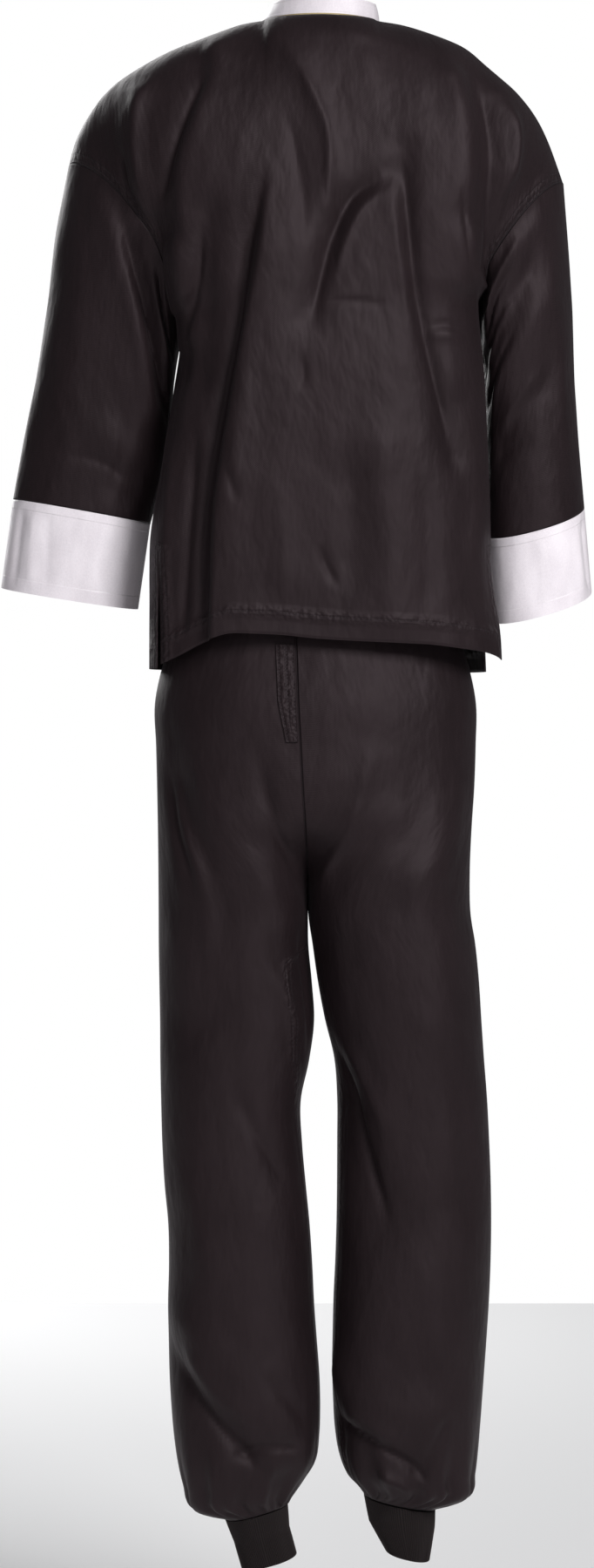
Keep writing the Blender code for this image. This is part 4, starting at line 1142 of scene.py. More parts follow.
LEFT_SLEEVE = Sleeve(
    side="left",
    tip=(240.5, -4.0, -141.0),
    rows=(
        SleeveRow(240.5, -141, 134, -294, 0, 62, 24, 0),
        SleeveRow(254, -205, 138, -331, -14, 60, 18, 0),
        SleeveRow(261.5, -270, 141, -369, -22, 57, 10, 0),
        SleeveRow(272.5, -340, 145, -408, -28, 54, 4, 0),
        SleeveRow(285.5, -402, 152, -446, -33, 51, 0, 0),
        SleeveRow(296.5, -461, 163, -485, -38, 49, 0, 1),
        SleeveRow(308.5, -546, 175, -567, -44, 48, 0, 4),
    ),
    folds=(
        Fold(((52, 0.03), (92, 0.22), (135, 0.50)), 15, 6),
        Fold(((78, 0.03), (112, 0.20), (150, 0.42)), 13, -7),
        Fold(((120, 0.18), (140, 0.55), (128, 0.95)), 16, -4),
        Fold(((250, 0.05), (235, 0.30), (215, 0.55)), 16, -6),
        Fold(((300, 0.06), (275, 0.30), (245, 0.62)), 16, 5),
        Fold(((60, 0.60), (100, 0.72), (150, 0.70)), 14, 3),
    ),
    fine_folds=(
        Fold(((66, 0.02), (100, 0.18), (140, 0.34), (162, 0.46)), 6, -3.5, 0.4, 0.2),
        Fold(((92, 0.04), (122, 0.16), (156, 0.30)), 7, 3.5, 0.7, 0.3),
        Fold(((108, 0.02), (138, 0.12), (165, 0.22)), 6, -3.5, 0.4, 0.3),
        Fold(((30, 0.30), (62, 0.46), (80, 0.66)), 14, 2.0, 1.0, 0.4),
        Fold(((96, 0.48), (112, 0.70), (110, 0.98)), 9, -2.0, 0.6, 0.3),
        Fold(((60, 0.84), (96, 0.80), (140, 0.86)), 6, -1.6, 0.4, 0.4),
        Fold(((45, 0.62), (70, 0.76), (76, 0.95)), 10, 1.6, 0.8, 0.4),
        Fold(((285, 0.12), (262, 0.34), (236, 0.50)), 8, -2.5, 0.5, 0.3),
        Fold(((320, 0.40), (290, 0.55), (262, 0.62)), 10, 2.2, 0.8, 0.4),
    ),
    cuff_folds=(
        Fold(((36, 0.0), (38, 1.0)), 7, -2.0, 0.6),
        Fold(((52, 0.0), (58, 1.0)), 7, 1.6, 0.8),
        Fold(((66, 0.0), (74, 1.0)), 6, -1.4, 0.6),
        Fold(((112, 0.0), (104, 1.0)), 10, 1.6, 0.9),
        Fold(((250, 0.0), (246, 1.0)), 10, -2.0, 0.8),
        Fold(((300, 0.0), (306, 1.0)), 9, 1.8, 0.8),
    ),
)
RIGHT_SLEEVE = Sleeve(
    side="right",
    tip=(-237.0, -4.0, -159.0),
    rows=(
        SleeveRow(-237, -159, -154, -277, -2, 65, 14, 0),
        SleeveRow(-243, -225, -158, -318, -16, 65, 10, 3),
        SleeveRow(-247, -281, -161, -359, -24, 64, 6, 6),
        SleeveRow(-249, -342, -159, -400, -30, 61, 4, 9),
        SleeveRow(-253.5, -405, -159, -446, -36, 59, 0, 12),
        SleeveRow(-259.5, -467, -160, -494, -42, 57, 0, 14),
        SleeveRow(-267, -549, -166, -577, -48, 56, 0, 13),
    ),
    folds=(
        Fold(((60, 0.04), (95, 0.10), (140, 0.20)), 14, 6),
        Fold(((75, 0.16), (112, 0.20), (160, 0.30)), 12, -7),
        Fold(((60, 0.30), (105, 0.36), (160, 0.46)), 15, 4),
        Fold(((70, 0.56), (95, 0.58), (125, 0.66)), 12, -4),
        Fold(((250, 0.06), (230, 0.30), (210, 0.52)), 16, -6),
        Fold(((300, 0.08), (270, 0.32), (240, 0.60)), 16, 5),
    ),
    fine_folds=(
        Fold(((70, 0.02), (100, 0.07), (132, 0.10), (160, 0.12)), 6, 4.0, 0.6, 0.3),
        Fold(((84, 0.10), (116, 0.13), (150, 0.20)), 6, -4.0, 0.4, 0.3),
        Fold(((88, 0.20), (124, 0.24), (158, 0.36)), 6, 3.0, 0.5, 0.3),
        Fold(((96, 0.30), (128, 0.36), (160, 0.50)), 6, -3.0, 0.4, 0.3),
        Fold(((64, 0.52), (96, 0.54), (132, 0.63)), 7, 2.5, 0.6, 0.4),
        Fold(((84, 0.72), (112, 0.70), (146, 0.74)), 7, -1.8, 0.5, 0.4),
        Fold(((40, 0.22), (48, 0.50), (44, 0.85)), 12, 1.8, 1.0, 0.4),
        Fold(((285, 0.12), (262, 0.34), (236, 0.50)), 8, -2.5, 0.5, 0.3),
        Fold(((320, 0.40), (290, 0.55), (262, 0.62)), 10, 2.2, 0.8, 0.4),
    ),
    cuff_folds=(
        Fold(((24, 0.0), (20, 1.0)), 8, -3.0, 0.5),
        Fold(((40, 0.0), (38, 1.0)), 8, 1.6, 0.8),
        Fold(((100, 0.0), (92, 1.0)), 12, -1.5, 0.9),
        Fold(((250, 0.0), (246, 1.0)), 10, -2.0, 0.8),
        Fold(((300, 0.0), (306, 1.0)), 9, 1.8, 0.8),
    ),
)


LONG_LAP: Route = ((46, -150), (62, -250), (81, -360), (94, -440), (100, -492), (104, -640))


@dataclass
class Jacket:
    """A loose jacket with a stand collar, side slits and a front that meets edge to edge."""

    torso: tuple[TorsoRow, ...] = (
        TorsoRow(-606, 161, 168, 105, -117),
        TorsoRow(-560, 161, 166, 107, -116),
        TorsoRow(-505, 162, 165, 109, -115),
        TorsoRow(-480, 160, 165, 110, -114),
        TorsoRow(-440, 152, 164, 112, -113),
        TorsoRow(-380, 142, 162, 114, -112),
        TorsoRow(-330, 137, 158, 115, -112),
        TorsoRow(-285, 134, 153, 115, -112),
    )
    widest_y: float = 30.0
    back_power: float = 2.6
    front_power: float = 2.15
    seam_top: float = -14.0
    seam_low_left: float = 22.0
    seam_low_right: float = 3.0
    seam_low_z: float = -520.0
    slit_top_z: float = -519.0
    back_spread: tuple[float, float] = (8.0, -2.0)
    front_spread: tuple[float, float] = (1.5, -8.0)
    underarm_left_z: float = -294.0
    underarm_right_z: float = -277.0
    shoulder_left: Route = (
        (53, -6), (58, -3), (66, -6), (88, -14), (124, -27), (146, -35), (175, -51), (200, -67),
        (214, -82), (225, -99), (233.5, -116), (239, -133), (240.5, -141),
    )
    shoulder_right: Route = (
        (-57, -6), (-62, -3.5), (-72, -7), (-98, -14.5), (-134, -27), (-149, -35), (-165, -50),
        (-184, -67), (-200, -82), (-212.5, -99), (-221, -116), (-228, -133), (-233.5, -149), (-237, -159),
    )
    shoulder_y: float = -4.0
    neck_back: tuple[float, float] = (58.0, -7.0)
    neck_front: tuple[float, float] = (-62.0, -52.0)
    back_hem: Route = (
        (0.0, -13), (0.1, -6), (0.25, 0), (0.45, 3), (0.55, 5), (0.65, 9), (0.78, 11),
        (0.86, 2), (0.93, -9), (1.0, -18),
    )
    front_hem: Route = ((0.0, -22), (0.3, -20), (1.0, -24))
    low_cells: int = 11
    top_cells: int = 12
    back_cells: int = 32
    shoulder_cells: int = 11
    front_cells: int = 15
    row_steps: int = 8
    column_steps: int = 6
    fade_rows: float = 16.0
    fade_columns: float = 14.0
    even_rounds: int = 20
    slit_reach: float = 0.16
    lap_fade: float = 90.0
    back_fullness: float = 3.2
    front_fullness: float = 2.6
    coarse_fade: tuple[float, float] = (0.069, 0.096)
    fine_fade: tuple[float, float] = (0.05, 0.08)
    collar_rows: int = 13
    collar_steps: int = 12
    fine_gain: float = 1.3
    stand_off: float = 3.0
    flare: float = 0.25
    blend: float = 130.0
    back_folds: tuple[Fold, ...] = (
        Fold(((106, -60), (134, -140), (140, -215)), 16, -8),
        Fold(((97, -50), (122, -125), (133, -172), (133, -250), (126, -310)), 14, 8),
        Fold(((172, -85), (180, -125), (170, -190)), 13, 6),
        Fold(((106, -200), (112, -270), (116, -350)), 17, -7),
        Fold(((38, -34), (12, -72), (-7, -125), (-7, -194)), 15, 4),
        Fold(((-66, -163), (-22, -194), (0, -266), (9, -300)), 15, -5),
        Fold(((-79, -140), (-84, -219), (-98, -298), (-114, -370), (-129, -428)), 14, -5),
        Fold(((-146, -60), (-157, -119), (-157, -165), (-150, -200)), 15, -8),
        Fold(((-130, -70), (-140, -130), (-140, -200), (-134, -260)), 15, 6),
        Fold(((-175, -85), (-186, -122), (-182, -155)), 14, 5),
        Fold(((-60, -420), (-66, -500), (-72, -580)), 20, 4),
        Fold(((-135, -380), (-140, -470), (-150, -560)), 16, -5),
    )
    back_laps: tuple[Lap, ...] = (Lap(LONG_LAP, 11, 14, 62),)
    fine_back_laps: tuple[Lap, ...] = (Lap(LONG_LAP, 2.6, 16, 60),)
    fine_back_folds: tuple[Fold, ...] = (
        Fold(
            ((58, -190), (74, -290), (92, -380), (105, -450), (111, -510), (114, -600)),
            9, -4.5, 0.6, 0.15,
        ),
        Fold(((113, -204), (120, -270), (130, -317), (136, -380)), 7, -4.5, 0.4, 0.25),
        Fold(((104, -60), (128, -112), (142, -150), (152, -196)), 7, -4.0, 0.4, 0.2),
        Fold(((150, -58), (168, -96), (170, -140), (158, -200)), 8, 4.0, 0.6, 0.3),
        Fold(((186, -128), (182, -162), (172, -192), (160, -224)), 5, -4.5, 0.35, 0.25),
        Fold(((196, -150), (180, -196), (160, -240)), 7, 4.0, 0.6, 0.3),
        Fold(((30, -46), (8, -84), (-9, -130), (-9, -200)), 6, 2.6, 0.5, 0.3),
        Fold(((36, -90), (22, -140), (14, -200), (16, -250)), 8, -2.2, 0.6, 0.35),
        Fold(((-64, -166), (-34, -184), (-14, -222), (-2, -266), (6, -308)), 7.5, -4.0, 0.5, 0.25),
        Fold(((-70, -176), (-42, -196), (-24, -232), (-12, -276)), 6, 2.6, 0.6, 0.35),
        Fold(
            ((-79, -140), (-84, -200), (-92, -262), (-104, -325), (-118, -380), (-130, -432)),
            7, -3.4, 0.5, 0.2,
        ),
        Fold(((-68, -150), (-73, -215), (-82, -280), (-96, -345)), 7, 2.2, 0.8, 0.35),
        Fold(((-134, -170), (-138, -210), (-139, -250)), 4.5, -2.4, 0.3, 0.4),
        Fold(((-152, -66), (-166, -118), (-167, -168), (-161, -236), (-151, -284)), 7.5, -5.0, 0.5, 0.2),
        Fold(((-172, -84), (-184, -120), (-181, -156), (-168, -196)), 7, 4.5, 0.6, 0.3),
        Fold(((-146, -244), (-158, -262), (-166, -252)), 6, 3.6, 0.5, 0.4),
        Fold(((4, -288), (-30, -284), (-72, -289)), 3.6, -1.8, 0.35, 0.4),
        Fold(((-100, -308), (-122, -304), (-147, -309)), 4.0, -2.4, 0.35, 0.4),
        Fold(((-96, -316), (-120, -314), (-142, -320)), 5.0, 1.8, 0.6, 0.4),
        Fold(((20, -330), (14, -350), (18, -372)), 5.0, -1.8, 0.5, 0.4),
        Fold(((3, -509), (-8, -534), (-21, -556)), 6.0, -2.6, 0.4, 0.4),
        Fold(((89, -431), (80, -456), (74, -478)), 6.0, -2.2, 0.5, 0.4),
        Fold(((118, -392), (124, -470), (130, -560), (134, -620)), 8, -4.0, 0.5, 0.25),
        Fold(((138, -400), (146, -480), (150, -560)), 8, 3.0, 0.8, 0.3),
        Fold(((44, -430), (34, -500), (30, -580)), 14, 2.2, 1.0, 0.3),
        Fold(((-20, -410), (-30, -480), (-36, -570)), 16, -2.4, 1.0, 0.3),
        Fold(((-98, -440), (-104, -500), (-104, -590)), 12, -2.6, 0.8, 0.3),
        Fold(((60, -300), (74, -400), (84, -500)), 12, 2.4, 1.0, 0.35),
        Fold(((0, -24), (-60, -34), (-110, -52)), 9, 1.2, 0.8, 0.4),
        Fold(((70, -26), (96, -40), (124, -56)), 9, 1.6, 0.8, 0.4),
    )
    front_folds: tuple[Fold, ...] = (
        Fold(((96, -70), (120, -150), (128, -240)), 20, -7),
        Fold(((80, -80), (96, -200), (104, -330), (110, -460)), 17, 7),
        Fold(((118, -250), (108, -360), (100, -520)), 15, -6),
        Fold(((45, -90), (52, -230), (60, -400), (62, -560)), 18, 4),
        Fold(((-98, -70), (-122, -150), (-130, -230)), 20, -7),
        Fold(((-84, -90), (-100, -210), (-112, -350), (-118, -470)), 17, 7),
        Fold(((-134, -240), (-124, -350), (-112, -520)), 15, -6),
        Fold(((-42, -80), (-46, -220), (-58, -390), (-64, -540)), 18, 5),
    )
    fine_front_folds: tuple[Fold, ...] = (
        Fold(((104, -60), (130, -120), (138, -190), (134, -250)), 7, -4.0, 0.4, 0.25),
        Fold(((150, -70), (170, -110), (168, -170)), 8, 4.0, 0.6, 0.3),
        Fold(((184, -126), (176, -180), (158, -232)), 6, -4.0, 0.4, 0.3),
        Fold(((70, -110), (84, -190), (88, -290), (92, -380)), 7, -3.0, 0.4, 0.25),
        Fold(((30, -90), (34, -170), (28, -250)), 8, 2.0, 0.7, 0.35),
        Fold(((122, -300), (126, -400), (120, -500), (116, -600)), 8, -3.5, 0.5, 0.25),
        Fold(((24, -300), (30, -420), (26, -560)), 12, 2.0, 0.9, 0.3),
        Fold(((84, -420), (80, -500), (78, -600)), 10, -2.8, 0.6, 0.3),
        Fold(((-106, -62), (-132, -118), (-140, -186), (-138, -246)), 7, -4.0, 0.4, 0.25),
        Fold(((-152, -72), (-170, -114), (-168, -172)), 8, 4.0, 0.6, 0.3),
        Fold(((-180, -130), (-172, -180), (-156, -226)), 6, -4.0, 0.4, 0.3),
        Fold(((-66, -100), (-78, -180), (-86, -280), (-90, -390)), 7, -3.0, 0.4, 0.25),
        Fold(((-28, -110), (-32, -200), (-26, -280)), 8, 2.0, 0.7, 0.35),
        Fold(((-128, -320), (-130, -420), (-122, -520), (-118, -600)), 8, -3.5, 0.5, 0.25),
        Fold(((-26, -320), (-32, -440), (-30, -570)), 12, 2.0, 0.9, 0.3),
        Fold(((-90, -430), (-86, -510), (-82, -600)), 10, -2.8, 0.6, 0.3),
        Fold(((20, -74), (60, -66), (100, -66)), 8, 1.6, 0.7, 0.4),
        Fold(((-20, -74), (-60, -66), (-104, -68)), 8, 1.6, 0.7, 0.4),
    )
    collar_height: float = 17.5
    collar_lean: float = 9.0
    collar_front_extra: float = 7.0
    collar_shift: float = 6.0
    collar_corner: float = 5.0
    collar_gap: float = 1.0
    collar_half_gap: float = 0.5

    def section(self, z: np.ndarray, angle: np.ndarray) -> np.ndarray:
        """Give a section below the armholes: angle 0 is the left side and 90 the middle of the back.

        Args:
            z: the heights.
            angle: the angles, in radians.

        Returns:
            The points.
        """
        cos, sin = np.cos(angle), np.sin(angle)
        power = np.where(sin >= 0, self.back_power, self.front_power)
        across = np.sign(cos) * np.abs(cos) ** (2 / power)
        deep = np.abs(sin) ** (2 / power)
        half = np.where(cos >= 0, column(self.torso, "left", z), column(self.torso, "right", z))
        back = column(self.torso, "back", z) - self.widest_y
        front = column(self.torso, "front", z) - self.widest_y
        y = self.widest_y + deep * np.where(sin >= 0, back, front)
        return np.stack([across * half, y, z + 0 * angle], axis=-1)

    def seam_angle(self, z: float, low: float, top_z: float) -> float:
        """Give how far behind the widest point a side seam lies.

        Args:
            z: the height.
            low: the seam's angle at its lowest, in degrees.
            top_z: the underarm's height.

        Returns:
            The angle, in radians.
        """
        share = smooth((top_z - z) / (top_z - self.seam_low_z))
        return math.radians(self.seam_top + (low - self.seam_top) * share)

    def level_row(self, z: float, back: bool, cells: int) -> np.ndarray:
        """Give one row of the back from the right seam, or of the fronts from the left seam.

        Args:
            z: the height.
            back: True for the back.
            cells: how many cells the row has.

        Returns:
            The row's points.
        """
        left = self.seam_angle(z, self.seam_low_left, self.underarm_left_z)
        right = math.pi - self.seam_angle(z, self.seam_low_right, self.underarm_right_z)
        if back:
            angle = np.linspace(right, left, 400)
            return along(self.section(np.full_like(angle, z), angle), cells + 1)
        centre = -math.pi / 2
        halves = []
        for start, end in ((left, centre), (centre, right - 2 * math.pi)):
            angle = np.linspace(start, end, 300)
            halves.append(along(self.section(np.full_like(angle, z), angle), cells // 2 + 1))
        return np.concatenate([halves[0], halves[1][1:]])

    def side_reach(self, y: np.ndarray, z: float, left: bool) -> np.ndarray:
        """Give how far out the side lies at a depth on the section at a height.

        Args:
            y: the depths.
            z: the height.
            left: True for the left side.

        Returns:
            The distance from the middle.
        """
        half = column(self.torso, "left" if left else "right", z)
        behind = y > self.widest_y
        depth = np.where(behind, column(self.torso, "back", z), column(self.torso, "front", z))
        power = np.where(behind, self.back_power, self.front_power)
        share = np.clip((y - self.widest_y) / (depth - self.widest_y), 0, 1)
        return half * (1 - share**power) ** (1 / power)

    def armhole(self, sleeve: Sleeve, underarm: np.ndarray) -> tuple[np.ndarray, np.ndarray]:
        """Give an armhole's seam from the underarm up the back to the tip, then the same up the front.

        Args:
            sleeve: the sleeve sewn into it.
            underarm: the seam's lowest point.

        Returns:
            The back's half and the front's half.
        """
        tip = np.array(sleeve.tip)
        halves = []
        for side in (1, -1):
            angle = np.linspace(math.pi, 0, 300) * side
            line = sleeve.rings(np.zeros(1), angle)[0]
            share = np.linspace(0, 1, 300)[:, None]
            line += (underarm - line[0]) * (1 - share) ** 2 + (tip - line[-1]) * share**2
            way = math.copysign(1.0, tip[0])
            rise = line[:, 2] - underarm[2]
            wanted = self.side_reach(line[:, 1], underarm[2], way > 0) + self.stand_off
            wanted += self.flare * np.maximum(rise, 0)
            short = np.maximum(wanted - way * line[:, 0], 0) * np.minimum(share[:, 0] * 10, 1)
            line[:, 0] += way * short * (1 - smooth(rise / self.blend))
            halves.append(along(line, self.top_cells + 1))
        return halves[0], halves[1]

    def ridge(self, points: Route) -> np.ndarray:
        """Give the shoulder's ridge from the neck to the armhole's tip.

        Args:
            points: the ridge's x and z at its own points.

        Returns:
            The dense line.
        """
        table = np.array(points, float)
        dense = np.linspace(0, len(table) - 1, 200)
        x = np.interp(dense, range(len(table)), table[:, 0])
        z = np.interp(dense, range(len(table)), table[:, 1])
        return np.stack([x, np.full_like(x, self.shoulder_y), z], axis=1)

    def neck_line(self, back: bool) -> np.ndarray:
        """Give the neck seam from the right shoulder to the left round the back, or on round the front.

        Args:
            back: True for the back.

        Returns:
            The dense line.
        """
        right, left = self.shoulder_right[0], self.shoulder_left[0]
        far_y, low = self.neck_back if back else self.neck_front
        angle = np.linspace(math.pi, 0, 200) if back else np.linspace(0, math.pi, 200)
        side_z = np.where(np.cos(angle) > 0, left[1], right[1])
        drop = np.sin(angle) ** (1.0 if back else 1.6)
        x = (right[0] + left[0]) / 2 + (left[0] - right[0]) / 2 * np.cos(angle)
        y = self.shoulder_y + (far_y - self.shoulder_y) * np.sin(angle)
        return np.stack([x, y, side_z * (1 - drop) + low * drop], axis=1)

    def neck_cells(self) -> int:
        """Give how many of a front's columns end on the neck seam."""
        return self.front_cells - self.shoulder_cells

    def top_row(self, back: bool) -> np.ndarray:
        """Give the back's or the fronts' highest row, along the shoulders and the neck.

        Args:
            back: True for the back.

        Returns:
            The row's points.
        """
        left, right = self.ridge(self.shoulder_left), self.ridge(self.shoulder_right)
        neck = self.neck_line(back)
        ends = self.shoulder_cells + 1
        if back:
            middle = [along(neck, self.back_cells - 2 * self.shoulder_cells + 1)]
            first, last = right, left
        else:
            count = self.neck_cells() + 1
            middle = [along(neck[:100], count), along(neck[100:], count)[1:]]
            first, last = left, right
        return np.concatenate([along(first[::-1], ends)[:-1], *middle, along(last, ends)[1:]])

    def upper_rows(self, low: np.ndarray, top: np.ndarray, edges: tuple, power: float) -> np.ndarray:
        """Give rows from the underarm to the shoulder and neck, held to the armholes at both ends.

        Args:
            low: the lowest row.
            top: the highest row.
            edges: the armhole's seam at the first column and at the last.
            power: how full the curve over the shoulder is.

        Returns:
            The rows.
        """
        place = np.linspace(-1, 1, len(low))
        middle = len(low) // 2
        depth = abs(low[middle, 1] - top[middle, 1]) + 30
        height = abs(top[middle, 2] - low[middle, 2])
        dense = np.linspace(0, math.pi / 2, 400)
        cos, sin = power_circle(dense, power)
        line = np.stack([depth * cos, height * sin, 0 * cos], axis=1)
        length = travel(line)
        turn = np.interp(np.linspace(0, length[-1], self.top_cells + 1), length, dense)
        cos, sin = power_circle(turn, power)
        share = np.stack([sin**1.5, 1 - cos, sin], axis=1)[:, None]
        rows = low[None] * (1 - share) + top[None] * share
        last = np.clip(place, 0, 1)[None, :, None] ** 1.6
        first = np.clip(-place, 0, 1)[None, :, None] ** 1.6
        rows += (edges[1] - rows[:, -1])[:, None] * last
        rows += (edges[0] - rows[:, 0])[:, None] * first
        return rows

    def plain_body(self, back: bool, edges: tuple, underarms: tuple) -> np.ndarray:
        """Give the coarse back, or both fronts as one grid, without folds.

        Args:
            back: True for the back.
            edges: the armhole's seam at the first column and at the last.
            underarms: the underarm's point at the first column and at the last.

        Returns:
            The grid, from the hem to the shoulder.
        """
        cells = self.back_cells if back else 2 * self.front_cells
        hem_z = self.torso[0].z
        place = np.linspace(0, 1, cells + 1)
        share = np.linspace(0, 1, self.low_cells + 1)
        rows = []
        for part in share:
            low = self.level_row(hem_z + (underarms[0][2] - hem_z) * part, back, cells)
            high = self.level_row(hem_z + (underarms[1][2] - hem_z) * part, back, cells)
            rows.append(low * (1 - place[:, None]) + high * place[:, None])
        rows = np.array(rows)
        table = self.back_hem if back else self.front_hem
        drop = np.interp(place, [row[0] for row in table], [row[1] for row in table])
        rows[..., 2] += drop[None] * ((1 - share) ** 1.5)[:, None]
        power = self.back_fullness if back else self.front_fullness
        upper = self.upper_rows(rows[-1], self.top_row(back), edges, power)
        return np.concatenate([rows, upper[1:]])

    def folded_body(self, points: np.ndarray, back: bool, fine: bool) -> np.ndarray:
        """Raise the folds of the back or the fronts, and open their slits.

        Args:
            points: the grid without folds.
            back: True for the back.
            fine: True for the small folds too.

        Returns:
            The grid with its folds.
        """
        x, z = points[..., 0], points[..., 2]
        heights = fold_heights(x, z, self.back_folds if back else self.front_folds)
        if fine:
            small = self.fine_back_folds if back else self.fine_front_folds
            heights += fold_heights(x, z, small) * self.fine_gain
        if back:
            heights += lap_heights(x, z, self.fine_back_laps if fine else self.back_laps, self.lap_fade)
        rows, columns = x.shape
        i, j = np.mgrid[0:rows, 0:columns] / np.array([rows - 1, columns - 1])[:, None, None]
        side, top = self.fine_fade if fine else self.coarse_fade
        heights *= smooth(j / side) * smooth((1 - j) / side) * smooth((1 - i) / top)
        points = points - grid_normals(points) * heights[..., None]
        return self.opened(points, j, self.back_spread if back else self.front_spread)

    def opened(self, points: np.ndarray, place: np.ndarray, spread: tuple[float, float]) -> np.ndarray:
        """Move the side edges out below the slits.

        Args:
            points: the grid.
            place: each point's share of the way across.
            spread: how far out the first and the last edge stand at the hem.

        Returns:
            The grid, moved.
        """
        depth = smooth((self.slit_top_z - points[..., 2]) / (self.slit_top_z - self.torso[0].z))
        near_first = np.maximum(1 - place / self.slit_reach, 0)
        near_last = np.maximum(1 - (1 - place) / self.slit_reach, 0)
        move = depth * (near_first * spread[0] + near_last * spread[1])
        outward = unit((points - points.mean(axis=1, keepdims=True)) * np.array([1, 0.35, 0]))
        return points + outward * move[..., None]

    def sewn_body(self, piece: Piece, armholes: tuple[Edge, ...]) -> None:
        """Give a body piece its topstitched armholes and slits, and its side seams down to the slits.

        Args:
            piece: the piece.
            armholes: the edges that are an armhole above and a slit below.
        """
        z = piece.points[..., 2]
        side = piece.distance(armholes)
        underarm = max(self.underarm_left_z, self.underarm_right_z) - 12
        armhole = side + 4 * np.maximum(underarm - z, 0)
        slit = side + 4 * np.maximum(z - self.slit_top_z - 8, 0)
        piece.stitched = np.minimum(armhole, slit)
        piece.open_seam = np.where(side < 40, 4 * np.maximum(self.slit_top_z - z, 0), 0)

    def fine(self, coarse: np.ndarray) -> np.ndarray:
        """Give a coarse grid at its full number of rows and columns, evened out away from its edges.

        Args:
            coarse: the coarse grid.

        Returns:
            The fine grid.
        """
        points = splined(splined(coarse, self.row_steps, 0), self.column_steps, 1)
        rows, columns = points.shape[:2]
        from_top = np.arange(rows)[::-1, None] / self.fade_rows
        from_side = np.minimum(np.arange(columns), np.arange(columns)[::-1])[None] / self.fade_columns
        share = (np.clip(from_top, 0, 1) * np.clip(from_side, 0, 1))[:, 1:-1, None]
        for _ in range(self.even_rounds):
            mean = (points[:, :-2] + points[:, 2:]) / 2
            points[:, 1:-1] += (mean - points[:, 1:-1]) * 0.5 * share
        return points

    def build(self, twill: Material, satin: Material, trim: Material) -> tuple:
        """Build the back, the fronts, the sleeves with their cuffs, and the collar.

        Args:
            twill: the black cloth.
            satin: the white cloth of the cuffs.
            trim: the white cloth of the collar.

        Returns:
            The two fronts' grids, for what is sewn on them.
        """
        turn = math.radians(self.seam_top)
        left_low = self.section(np.array([self.underarm_left_z]), np.array([turn]))[0]
        right_low = self.section(np.array([self.underarm_right_z]), np.array([math.pi - turn]))[0]
        left_seam = self.armhole(LEFT_SLEEVE, left_low)
        right_seam = self.armhole(RIGHT_SLEEVE, right_low)
        plain_back = self.plain_body(True, (right_seam[0], left_seam[0]), (right_low, left_low))
        plain_front = self.plain_body(False, (left_seam[1], right_seam[1]), (left_low, right_low))
        bodies = (
            self.folded_body(plain_back, True, False),
            self.folded_body(plain_front, False, False),
        )
        back = self.folded_body(self.fine(plain_back), True, True)
        front = self.folded_body(self.fine(plain_front), False, True)
        middle = self.front_cells * self.column_steps
        grids = {"front_left": front[:, : middle + 1], "front_right": front[:, middle:], "back": back}
        edges = {
            "front_left": (Edge.FIRST,),
            "front_right": (Edge.LAST,),
            "back": (Edge.FIRST, Edge.LAST),
        }
        for name, grid in grids.items():
            piece = Piece(
                f"jacket_{name}_cloth", grid, twill, "black_cloth", (f"jacket_{name}",),
                flipped=True, sewn=edges[name] + (Edge.TOP,), free=(Edge.BOTTOM,),
            )
            self.sewn_body(piece, edges[name])
            piece.build()
        LEFT_SLEEVE.build(left_seam, bodies, twill, satin)
        RIGHT_SLEEVE.build(right_seam, bodies, twill, satin)
        self.build_collar(plain_back, plain_front, trim)
        return grids["front_left"], grids["front_right"]

    def build_collar(self, back: np.ndarray, front: np.ndarray, trim: Material) -> None:
        """Build the stand collar on the neck seam, open at centre front and leaning in to its top.

        Args:
            back: the coarse back.
            front: the coarse fronts.
            trim: the collar's finish.
        """
        neck, half = self.shoulder_cells, self.front_cells
        right_side = front[-1, half : half + self.neck_cells() + 1]
        left_side = front[-1, neck : half + 1]
        base = np.concatenate([right_side, back[-1, neck:-neck][1:], left_side[1:]])
        base = splined(base, self.collar_steps)
        middle = np.array([base[:, 0].mean(), self.shoulder_y, 0.0])
        outward = unit((base - middle) * np.array([1, 1, 0.0]))
        upward = unit(np.cross(np.gradient(base, axis=0), outward))
        place = np.linspace(-1, 1, len(base))
        front_share = smooth(np.abs(place) * 2.2 - 1.2)[:, None]
        right = smooth(-base[:, :1] / 40.0) * (1 - front_share)
        rise = self.collar_height + self.collar_front_extra * front_share
        rows = []
        for share in np.linspace(0, 1, self.collar_rows):
            row = base + upward * (self.collar_gap + rise * share) - outward * self.collar_lean * share**1.3
            row[:, :1] -= self.collar_shift * share * right
            row[0, 0] = min(row[0, 0], -self.collar_half_gap)
            row[-1, 0] = max(row[-1, 0], self.collar_half_gap)
            corner = self.collar_corner * smooth(np.abs(place) * 12 - 11) * share**3
            row[:, 2] -= corner
            rows.append(row)
        grid = np.array(rows)
        Piece(
            "collar_cloth", grid, trim, "white_cloth", ("collar",),
            sewn=(Edge.BOTTOM,), free=(Edge.TOP, Edge.FIRST, Edge.LAST), thick=2.0,
        ).build()


